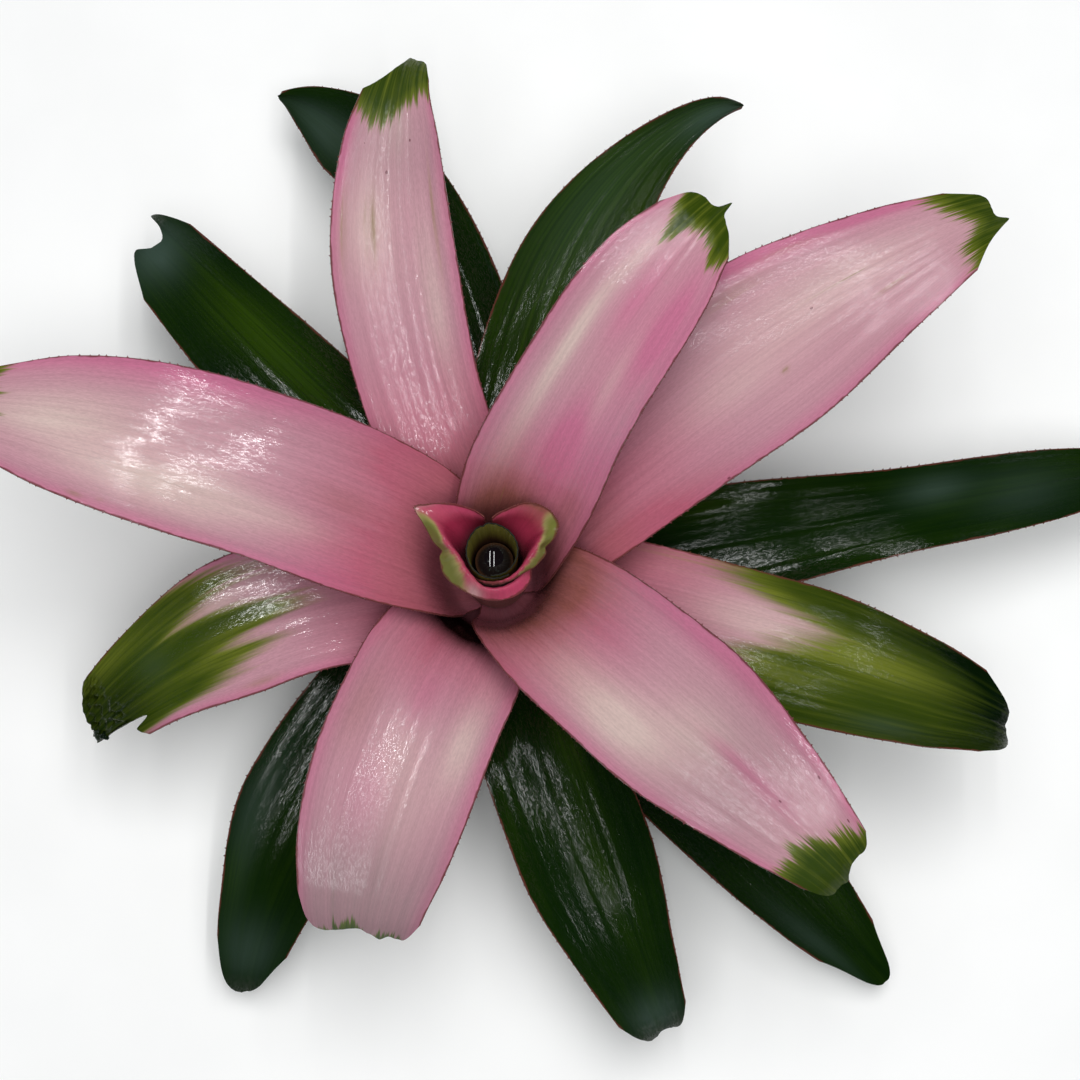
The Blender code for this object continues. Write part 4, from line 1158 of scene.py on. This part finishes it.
def leaf_material(name, seed, skin, tints):
    """Leaf skin: pinks and creams, painted shade where the foot lies deep, then green, thin marks, specks,
    the dark margin line, and painted sheen and shade that grey the drooping ends.

    The gloss comes in small glints, and the under face is duller, with pale cross-bands.
    """
    material, nodes, shader = new_material(name)
    place = nodes.place()
    rim, under, matt = (nodes.single(value) for value in ("rim", "under", "matt"))
    cream, magenta, rose = nodes.triple("blush")
    green, olive, painted_sheen_shade_and_dust = nodes.triple("cover")
    tan, yellow, dark = nodes.triple("tone")
    grain = use_group(nodes, "grain", {"Place": place, "Seed": seed})
    lines, streaks, blotches = grain["Lines"], grain["Streaks"], grain["Blotches"]

    def broken(field, amount):
        """field * (1 + amount * (blotches - 0.5) + 0.7 * amount * (streaks - 0.5))."""
        uneven = nodes.maths("MULTIPLY", nodes.maths("SUBTRACT", blotches, 0.5), amount)
        fine = nodes.maths("MULTIPLY", nodes.maths("SUBTRACT", streaks, 0.5), amount * 0.7)
        total = nodes.maths("ADD", uneven, fine)
        return nodes.maths("MULTIPLY", field, nodes.maths("ADD", total, 1.0), clamp=True)

    colour = nodes.mix(broken(cream, 0.7), skin.blade, skin.cream)
    colour = nodes.washed(
        colour,
        (broken(magenta, 0.6), 0.8, skin.magenta),
        (broken(rose, 0.6), 0.85, skin.rose),
        (broken(tan, 0.6), 0.8, tints.tan),
    )
    line_light = nodes.step(lines, 0.30, 0.70, 0.94, 1.05)
    cell_light = nodes.step(grain["Cells"], 0.25, 0.75, 0.95, 1.05)
    colour = nodes.lit(colour, nodes.maths("MULTIPLY", line_light, cell_light))
    olive_mask = nodes.maths("MULTIPLY", olive, nodes.step(lines, 0.35, 0.60, 0.25, 1.0), clamp=True)
    colour = nodes.washed(colour, (olive_mask, 0.75, tints.olive))
    greens = use_group(nodes, "green", {
        "Field": green, "Lines": lines, "Streaks": streaks, "Blotches": blotches,
        "Yellow": yellow, "Dark": dark, "Light green": tuple(skin.light), "Mid green": tuple(skin.mid),
        "Dark green": tuple(tints.dark_green), "Ragged": skin.ragged, "Soft": skin.soft,
    })
    # Painted shade: where a leaf is not green, the dark mask turns its deep foot near-black
    deep = nodes.maths("MULTIPLY", dark, nodes.maths("SUBTRACT", 1.0, greens["Mask"]), clamp=True)
    colour = nodes.mix(deep, colour, tints.deep)
    colour = nodes.mix(greens["Mask"], colour, greens["Colour"])
    bands = nodes.pattern(place, seed, *BAND_PATTERN)
    scurf = nodes.maths("MULTIPLY", under, nodes.step(bands, 0.42, 0.66, 0.15, 0.75))
    marks = use_group(nodes, "specks", {"Place": place, "Seed": seed, "Share": skin.specks})
    margin = use_group(nodes, "margin", {"Place": place, "Rim": rim, "Width": skin.rim, "Seed": seed})
    colour = nodes.washed(
        colour,
        # painted sheen on the drooping ends of green leaves, painted shade on the ends of pink ones
        (broken(painted_sheen_shade_and_dust, 0.7), 0.55, tints.painted_sheen_shade_and_dust),
        (under, 0.45, tints.under),
        (scurf, 0.35, tints.scurf),
        (marks["Mask"], 0.75, tints.speck),
        (margin["Mask"], 0.85, tints.margin),
    )
    nodes.give(shader["Base Color"], colour)
    dulled = nodes.maths("MULTIPLY_ADD", under, 0.25, nodes.step(blotches, 0.3, 0.7, 0.09, 0.15))
    nodes.give(shader["Roughness"], nodes.maths("MULTIPLY_ADD", painted_sheen_shade_and_dust, 0.08, dulled))
    nodes.bump(shader, 0.4, 0.00022, grain["Relief"])
    glints = nodes.pattern(place, seed + GLINT_SEED, *GLINT_PATTERN)
    shine = nodes.step(glints, 0.44, 0.58, 0.12, skin.shine)
    glossy = nodes.maths("SUBTRACT", 1.0, nodes.maths("MULTIPLY", matt, 0.92))
    nodes.give(shader["Specular IOR Level"], nodes.maths("MULTIPLY", shine, glossy))
    return material


def tube_material(tints):
    """The rolled leaf of the tube: olive green at the mouth, brown below, a dark line round the rim."""
    material, nodes, shader = new_material("tube leaf skin")
    place, rim = nodes.place(), nodes.single("rim")
    grain = use_group(nodes, "grain", {"Place": place, "Seed": TUBE_SEED})
    deep = nodes.step(nodes.maths("MULTIPLY_ADD", grain["Blotches"], 0.006, rim), 0.011, 0.026)
    colour = nodes.mix(deep, tints.tube_green, tints.tube_brown)
    colour = nodes.lit(colour, nodes.step(grain["Lines"], 0.3, 0.7, 0.8, 1.15))
    margin = use_group(nodes, "margin", {"Place": place, "Rim": rim, "Width": 0.0008, "Seed": TUBE_SEED})
    nodes.give(shader["Base Color"], nodes.mix(margin["Mask"], colour, tints.tube_rim))
    streaked = nodes.step(grain["Streaks"], 0.3, 0.7, 0.30, 0.40)
    nodes.give(shader["Roughness"], nodes.maths("MULTIPLY_ADD", margin["Mask"], 0.4, streaked))
    nodes.bump(shader, 0.4, 0.0002, grain["Relief"])
    return material


def water_material(tints):
    """Dark, still water, a little browner towards the wall, with dust lying on it."""
    material, nodes, shader = new_material("water surface")
    place = nodes.add("ShaderNodeTexCoord").outputs["Object"]
    motes = nodes.noise(place, 900.0, 4.0)
    colour = nodes.mix(nodes.step(nodes.single("rim"), 0.0014, 0.0), tints.water, tints.tube_brown)
    colour = nodes.mix(nodes.step(motes, 0.60, 0.72, 0.0, 0.35), colour, tints.painted_sheen_shade_and_dust)
    nodes.give(shader["Base Color"], colour)
    nodes.give(shader["Roughness"], nodes.step(motes, 0.55, 0.75, 0.03, 0.22))
    shader["Specular IOR Level"].default_value = 0.5
    return material


def stem_material(tints):
    """Brown stem: fibres up its sides, a paler ringed cut face below."""
    material, nodes, shader = new_material("stem bark")
    place = nodes.add("ShaderNodeTexCoord").outputs["Object"]
    drawn_out = nodes.add("ShaderNodeMapping", {"Vector": place, "Scale": (900, 900, 90)}).outputs[0]
    fibres = nodes.noise(drawn_out, 1.0, 4.0)
    rings = nodes.add(
        "ShaderNodeTexWave",
        {"Vector": place, "Scale": 260.0, "Distortion": 3.0, "Detail": 2.0},
        wave_type="RINGS",
        rings_direction="Z",
    )
    colour = nodes.mix(nodes.step(fibres, 0.35, 0.65), tints.stem_dark, tints.stem)
    height = nodes.add("ShaderNodeSeparateXYZ", {0: place}).outputs[2]
    cut = nodes.step(height, 0.0006, 0.0001)
    face = nodes.mix(nodes.maths("MULTIPLY", rings.outputs["Fac"], 0.5), tints.stem_cut, tints.stem)
    nodes.give(shader["Base Color"], nodes.mix(cut, colour, face))
    nodes.give(shader["Roughness"], nodes.step(fibres, 0.3, 0.7, 0.75, 0.95))
    nodes.bump(shader, 0.7, 0.0005, fibres)
    return material


def turned(profile, sides, wobble=None):
    """Points of a profile of (x, y, radius, z) rings carried round, and its faces with both ends closed."""
    x, y, radius, z = (np.array(part)[:, None] for part in zip(*profile))
    angle = np.linspace(0, 2 * np.pi, sides, endpoint=False)[None]
    if wobble is not None:
        radius = radius * (1 + wobble(angle, z))
    points = np.stack(np.broadcast_arrays(x + radius * np.cos(angle), y + radius * np.sin(angle), z), -1)
    walls = ring_quads(len(profile), sides)[:, [0, 3, 2, 1]].tolist()
    first = list(range(sides))
    last = list(range((len(profile) - 1) * sides, len(profile) * sides))
    return points.reshape(-1, 3), [first[::-1], *walls, last]


class TintSettings(bpy.types.PropertyGroup):
    """Colours of the plant's parts."""

    def tint(name, description, value):
        """A colour property."""
        return bpy.props.FloatVectorProperty(
            name=name, description=description, subtype="COLOR", size=3, min=0, max=1, default=value
        )

    pink: tint("Pink", "Blade of a pink leaf", srgb(178, 128, 142))
    cream: tint("Cream", "Palest areas of a pink leaf", srgb(198, 174, 168))
    magenta: tint("Magenta", "Margins and bands of a pink leaf", srgb(186, 100, 134))
    rose: tint("Rose", "Foot of a pink leaf", srgb(170, 84, 104))
    tan: tint("Tan", "Brownish pink near the middle", srgb(130, 78, 62))
    olive: tint("Olive", "Thin marks on a pink leaf", srgb(128, 112, 72))
    light_green: tint("Light green", "Where a pink leaf turns green", srgb(104, 112, 36))
    mid_green: tint("Mid green", "Green end of a pink leaf", srgb(46, 62, 11))
    dark_green: tint("Dark green", "Darkest green", srgb(6, 20, 3))
    leaf_light: tint("Leaf light green", "Yellowish zones of a green leaf", srgb(40, 62, 6))
    leaf_green: tint("Leaf green", "Green leaf", srgb(8, 27, 3))
    # painted sheen, grey-blue on the drooping ends of green leaves, and painted shade, mauve-grey, on pink
    # ends; also the dust on the water
    painted_sheen_shade_and_dust: tint("Painted sheen, shade and dust", "Painted sheen and shade on drooping ends, and dust on the water", srgb(70, 88, 80))
    under: tint("Under face", "Under side of a leaf", srgb(78, 78, 50))
    scurf: tint("Scurf", "Pale cross-bands under a leaf", srgb(156, 150, 138))
    speck: tint("Speck", "Small specks", srgb(92, 40, 52))
    margin: tint("Margin", "Line and teeth along a margin", srgb(92, 46, 40))
    # painted shade, near-black, for the foot of a leaf deep between the others
    deep: tint("Painted shade", "Painted shade on a leaf foot far down between the others", srgb(22, 7, 7))
    bract_pink: tint("Bract pink", "Blade of a bract", srgb(166, 80, 96))
    bract_bright: tint("Bract bright pink", "Brightest pink of a bract", srgb(190, 68, 104))
    bract_rose: tint("Bract rose", "Inside of a bract lower down", srgb(142, 30, 62))
    bract_light: tint("Bract light green", "Where a bract's margin turns green", srgb(146, 134, 86))
    bract_green: tint("Bract green", "Rolled margin of a bract", srgb(104, 106, 50))
    tube_green: tint("Tube green", "Inner wall of the tube near its mouth", srgb(136, 128, 54))
    tube_brown: tint("Tube brown", "Inner wall of the tube lower down", srgb(64, 40, 27))
    tube_rim: tint("Tube rim", "Line round the tube's mouth", srgb(16, 18, 10))
    water: tint("Water", "Water in the tube", srgb(20, 12, 16))
    stem: tint("Stem", "Bark of the stem", srgb(116, 88, 60))
    stem_dark: tint("Stem dark", "Between the stem's fibres", srgb(62, 44, 30))
    stem_cut: tint("Stem cut", "Cut face of the stem", srgb(186, 170, 128))


class LeafSettings(bpy.types.PropertyGroup):
    """Sizes of the fine parts of a leaf."""

    def length(name, description, value):
        """A length property."""
        return bpy.props.FloatProperty(name=name, description=description, default=value, unit="LENGTH")

    edge_thickness: length("Edge thickness", "Thickness of a blade at its margins", 0.0005)
    spine_height: length("Spine height", "Height of a spine on a strap leaf", 0.0008)
    spine_spacing: length("Spine spacing", "Distance between spines on a strap leaf", 0.0033)
    bract_spine_height: length("Bract spine height", "Height of a spine on a bract", 0.0006)
    bract_spine_spacing: length("Bract spine spacing", "Distance between spines on a bract", 0.0011)


class StageSettings(bpy.types.PropertyGroup):
    """Camera, lights and floor."""

    elevation: bpy.props.FloatProperty(
        name="Elevation", description="Height of the view above the horizon", default=math.radians(80),
        subtype="ANGLE",
    )
    distance: bpy.props.FloatProperty(
        name="Distance", description="Camera to the middle of the rosette", default=0.700, unit="LENGTH"
    )
    lens: bpy.props.FloatProperty(name="Lens", description="Focal length in millimetres", default=70.0)
    floor_colour: bpy.props.FloatVectorProperty(
        name="Floor", description="Colour of the floor", subtype="COLOR", size=3, min=0, max=1,
        default=srgb(250, 250, 249),
    )
    strip_power: bpy.props.FloatProperty(
        name="Strip light", description="Power of each strip light", default=3.2, unit="POWER"
    )
    panel_power: bpy.props.FloatProperty(
        name="Soft panel", description="Power of the soft panel overhead", default=24.0, unit="POWER"
    )
    surround: bpy.props.FloatProperty(
        name="Surround", description="Strength of the light from all round", default=0.35
    )
    ceiling_colour: bpy.props.FloatVectorProperty(
        name="Ceiling", description="Light from overhead", subtype="COLOR", size=3, min=0, max=1,
        default=(0.10, 0.11, 0.12),
    )
    wall_colour: bpy.props.FloatVectorProperty(
        name="Walls", description="Light from the sides", subtype="COLOR", size=3, min=0, max=1,
        default=(0.80, 0.92, 1.0),
    )


def settings():
    """The scene's three groups of settings: tints, leaves and stage."""
    scene = bpy.context.scene
    return scene.bromeliad_tints, scene.bromeliad_leaves, scene.bromeliad_stage


class BROMELIAD_OT_pink_leaves(bpy.types.Operator):
    """Make the pink strap leaves."""

    bl_idname = "bromeliad.pink_leaves"
    bl_label = "Pink Leaves"

    def execute(self, context):
        tints, sizes, _ = settings()
        for number, leaf in enumerate(LEAVES):
            if leaf.name.startswith("pink"):
                ragged, soft = (0.75, 0.30) if leaf.name in GREEN_SOFTNESS else (1.5, 0.14)
                skin = Skin(
                    tints.pink, tints.cream, tints.magenta, tints.rose, tints.light_green, tints.mid_green,
                    ragged, soft, specks=0.3, shine=1.0, rim=0.0006,
                )
                material = leaf_material(leaf.name + " skin", SEED_STEP * number + 1, skin, tints)
                make_leaf(leaf, FIRST_LEAF_LAYER + number, material, sizes)
        return {"FINISHED"}


class BROMELIAD_OT_green_leaves(bpy.types.Operator):
    """Make the green strap leaves."""

    bl_idname = "bromeliad.green_leaves"
    bl_label = "Green Leaves"

    def execute(self, context):
        tints, sizes, _ = settings()
        for number, leaf in enumerate(LEAVES):
            if leaf.name.startswith("green"):
                green = tints.leaf_green
                skin = Skin(
                    green, green, green, green, tints.leaf_light, green,
                    ragged=0.0, soft=0.1, specks=0.15, shine=0.6, rim=0.0006,
                )
                material = leaf_material(leaf.name + " skin", SEED_STEP * number + 1, skin, tints)
                make_leaf(leaf, FIRST_LEAF_LAYER + number, material, sizes)
        return {"FINISHED"}


class BROMELIAD_OT_bracts(bpy.types.Operator):
    """Make the two bracts."""

    bl_idname = "bromeliad.bracts"
    bl_label = "Bracts"

    def execute(self, context):
        tints, sizes, _ = settings()
        skin = Skin(
            tints.bract_pink, tints.cream, tints.bract_bright, tints.bract_rose, tints.bract_light,
            tints.bract_green, ragged=0.6, soft=0.22, specks=0.0, shine=0.4, rim=0.0011,
        )
        for number, cup in enumerate((INNER_BRACT, OUTER_BRACT)):
            material = leaf_material(cup.name + " skin", BRACT_SEED + number, skin, tints)
            make_cup(cup, material, sizes, True)
        return {"FINISHED"}


class BROMELIAD_OT_tube(bpy.types.Operator):
    """Make the rolled leaf of the tube."""

    bl_idname = "bromeliad.tube"
    bl_label = "Tube Leaf"

    def execute(self, context):
        tints, sizes, _ = settings()
        make_cup(TUBE_LEAF, tube_material(tints), sizes, False)
        return {"FINISHED"}


class BROMELIAD_OT_water(bpy.types.Operator):
    """Make the water in the tube, hollowed at the top where it climbs the wall."""

    bl_idname = "bromeliad.water"
    bl_label = "Water"

    def execute(self, context):
        tints, _, _ = settings()
        radii, heights = zip(*TUBE_LEAF.rings, TUBE_LEAF.ribs[0][1:3])
        inset = CUP_THICKNESS / 2 + WATER_GAP
        profile = []
        for height in np.linspace(WATER_BOTTOM, WATER_SURFACE, WATER_WALL_RINGS):
            profile.append((*leaning(height), float(through(heights, radii, height)) - inset, height))
        east, north, radius, _ = profile[-1]
        for share in np.linspace(*WATER_TOP_SHARES, WATER_TOP_RINGS):
            sag = (1 - share**2) * radius**2 / (2 * WATER_CURVE)
            profile.append((east, north, radius * share, WATER_SURFACE - sag))
        points, faces = turned(profile, WATER_SIDES)
        shape = Shape()
        shape.add(points, faces, rim=radius - np.hypot(points[:, 0] - east, points[:, 1] - north))
        made = shape.build("water_fine", water_material(tints), WATER_CREASE)
        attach(made, "root")
        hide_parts("water")
        return {"FINISHED"}


class BROMELIAD_OT_stem(bpy.types.Operator):
    """Make the cut stem with the scars of shed leaves."""

    bl_idname = "bromeliad.stem"
    bl_label = "Stem"

    def execute(self, context):
        tints, _, _ = settings()
        edge, over_edge = STEM_CUT_EDGE
        heights = np.concatenate([[0, edge], np.linspace(over_edge, STEM_TOP_HEIGHT, STEM_RINGS)])
        neck = stem_radius(STEM_NECK_HEIGHT)
        lean = np.clip(1 - heights / STEM_NECK_HEIGHT, 0, 1)
        radius = np.where(
            heights < STEM_NECK_HEIGHT,
            STEM_FOOT_RADIUS + (neck - STEM_FOOT_RADIUS) * heights / STEM_NECK_HEIGHT,
            stem_radius(heights),
        )
        scars = SCAR_DEPTH * np.abs(np.sin(heights / SCAR_SPACING * np.pi))
        radius = radius - scars - np.where(heights < edge, SCAR_DEPTH, 0)
        shift = STEM_FOOT_SHIFT * lean

        def wobble(angle, z):
            """Sum of amount * sin(waves * angle + phase * z)."""
            return sum(amount * np.sin(waves * angle + phase * z) for amount, waves, phase in STEM_WOBBLE)

        points, faces = turned(list(zip(shift, shift, radius, heights)), STEM_SIDES, wobble)
        shape = Shape()
        shape.add(points, faces)
        made = shape.build("stem_fine", stem_material(tints))
        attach(made, "root")
        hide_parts("stem")
        return {"FINISHED"}


class BROMELIAD_OT_stage(bpy.types.Operator):
    """Make the camera, the lights and the pale floor."""

    bl_idname = "bromeliad.stage"
    bl_label = "Stage"

    def execute(self, context):
        *_, stage = settings()
        scene = context.scene
        camera = bpy.data.objects.new("camera", bpy.data.cameras.new("camera"))
        camera.data.lens = stage.lens
        camera.data.sensor_width = SENSOR_WIDTH
        tilt = stage.elevation
        camera.location = (
            VIEW_TARGET[0],
            VIEW_TARGET[1] - math.cos(tilt) * stage.distance,
            VIEW_TARGET[2] + math.sin(tilt) * stage.distance,
        )
        camera.rotation_euler = (math.pi / 2 - tilt, 0, 0)
        scene.collection.objects.link(camera)
        scene.camera = camera

        mesh = bpy.data.meshes.new("floor")
        side = np.linspace(-FLOOR_REACH, FLOOR_REACH, FLOOR_LINES)
        x, y = np.meshgrid(side, side, indexing="ij")
        points = np.stack([x, y, 0 * x], -1).reshape(-1, 3)
        faces = quads(np.arange(x.size).reshape(x.shape))
        mesh.from_pydata(points.tolist(), [], faces.tolist())
        floor = bpy.data.objects.new("floor", mesh)
        scene.collection.objects.link(floor)
        material, nodes, shader = new_material("floor paint")
        where = nodes.add("ShaderNodeTexCoord").outputs["Object"]
        mottle = nodes.noise(where, 14.0, 3.0)
        pale = tuple(stage.floor_colour)
        shade = tuple(c * 0.97 for c in pale)
        nodes.give(shader["Base Color"], nodes.mix(nodes.step(mottle, 0.3, 0.7), shade, pale))
        shader["Roughness"].default_value = 0.9
        mesh.materials.append(material)

        lights = (
            ("strip left", (0.00, 0.10, 1.25), (0.016, 1.25), stage.strip_power),
            ("strip right", (0.26, 0.10, 1.20), (0.016, 1.25), stage.strip_power),
            ("soft panel", (0.02, 0.06, 1.70), (1.6, 1.9), stage.panel_power),
        )
        for name, where, (wide, long), power in lights:
            data = bpy.data.lights.new(name, "AREA")
            data.shape = "RECTANGLE"
            data.size, data.size_y = wide, long
            data.energy = power
            light = bpy.data.objects.new(name, data)
            light.location = where
            light.rotation_euler = (0, math.atan2(where[0] - VIEW_TARGET[0], where[2]), 0)
            light.visible_camera = False
            light.visible_glossy = name != "soft panel"
            scene.collection.objects.link(light)
        world = bpy.data.worlds.new("surround")
        scene.world = world
        world.use_nodes = True
        nodes = Nodes(world.node_tree)
        toward = nodes.add("ShaderNodeTexCoord").outputs["Generated"]
        height = nodes.add("ShaderNodeSeparateXYZ", {0: toward}).outputs[2]
        sides = nodes.step(height, 0.80, 0.10)
        background = world.node_tree.nodes["Background"]
        nodes.give(background.inputs["Color"], nodes.mix(sides, stage.ceiling_colour, stage.wall_colour))
        background.inputs["Strength"].default_value = stage.surround
        scene.view_settings.view_transform = "Standard"
        return {"FINISHED"}


OPERATORS = (
    BROMELIAD_OT_stage,
    BROMELIAD_OT_stem,
    BROMELIAD_OT_tube,
    BROMELIAD_OT_water,
    BROMELIAD_OT_bracts,
    BROMELIAD_OT_pink_leaves,
    BROMELIAD_OT_green_leaves,
)


class BROMELIAD_PT_panel(bpy.types.Panel):
    """Lists the steps and their settings in the 3D view's sidebar."""

    bl_idname = "BROMELIAD_PT_panel"
    bl_label = "Bromeliad"
    bl_space_type = "VIEW_3D"
    bl_region_type = "UI"
    bl_category = "Bromeliad"

    def draw(self, context):
        for operator in OPERATORS:
            self.layout.operator(operator.bl_idname)
        for group in settings():
            for name in group.bl_rna.properties.keys():
                if name not in ("rna_type", "name"):
                    self.layout.prop(group, name)


CLASSES = (TintSettings, LeafSettings, StageSettings, *OPERATORS, BROMELIAD_PT_panel)


def register():
    """Registers the classes and puts the three groups of settings on the scene."""
    for kind in CLASSES:
        bpy.utils.register_class(kind)
    bpy.types.Scene.bromeliad_tints = bpy.props.PointerProperty(type=TintSettings)
    bpy.types.Scene.bromeliad_leaves = bpy.props.PointerProperty(type=LeafSettings)
    bpy.types.Scene.bromeliad_stage = bpy.props.PointerProperty(type=StageSettings)


def unregister():
    """Takes both away again."""
    for name in ("bromeliad_tints", "bromeliad_leaves", "bromeliad_stage"):
        delattr(bpy.types.Scene, name)
    for kind in reversed(CLASSES):
        bpy.utils.unregister_class(kind)


def main():
    register()
    for operator in OPERATORS:
        group, name = operator.bl_idname.split(".")
        getattr(getattr(bpy.ops, group), name)()


if __name__ == "__main__":
    main()
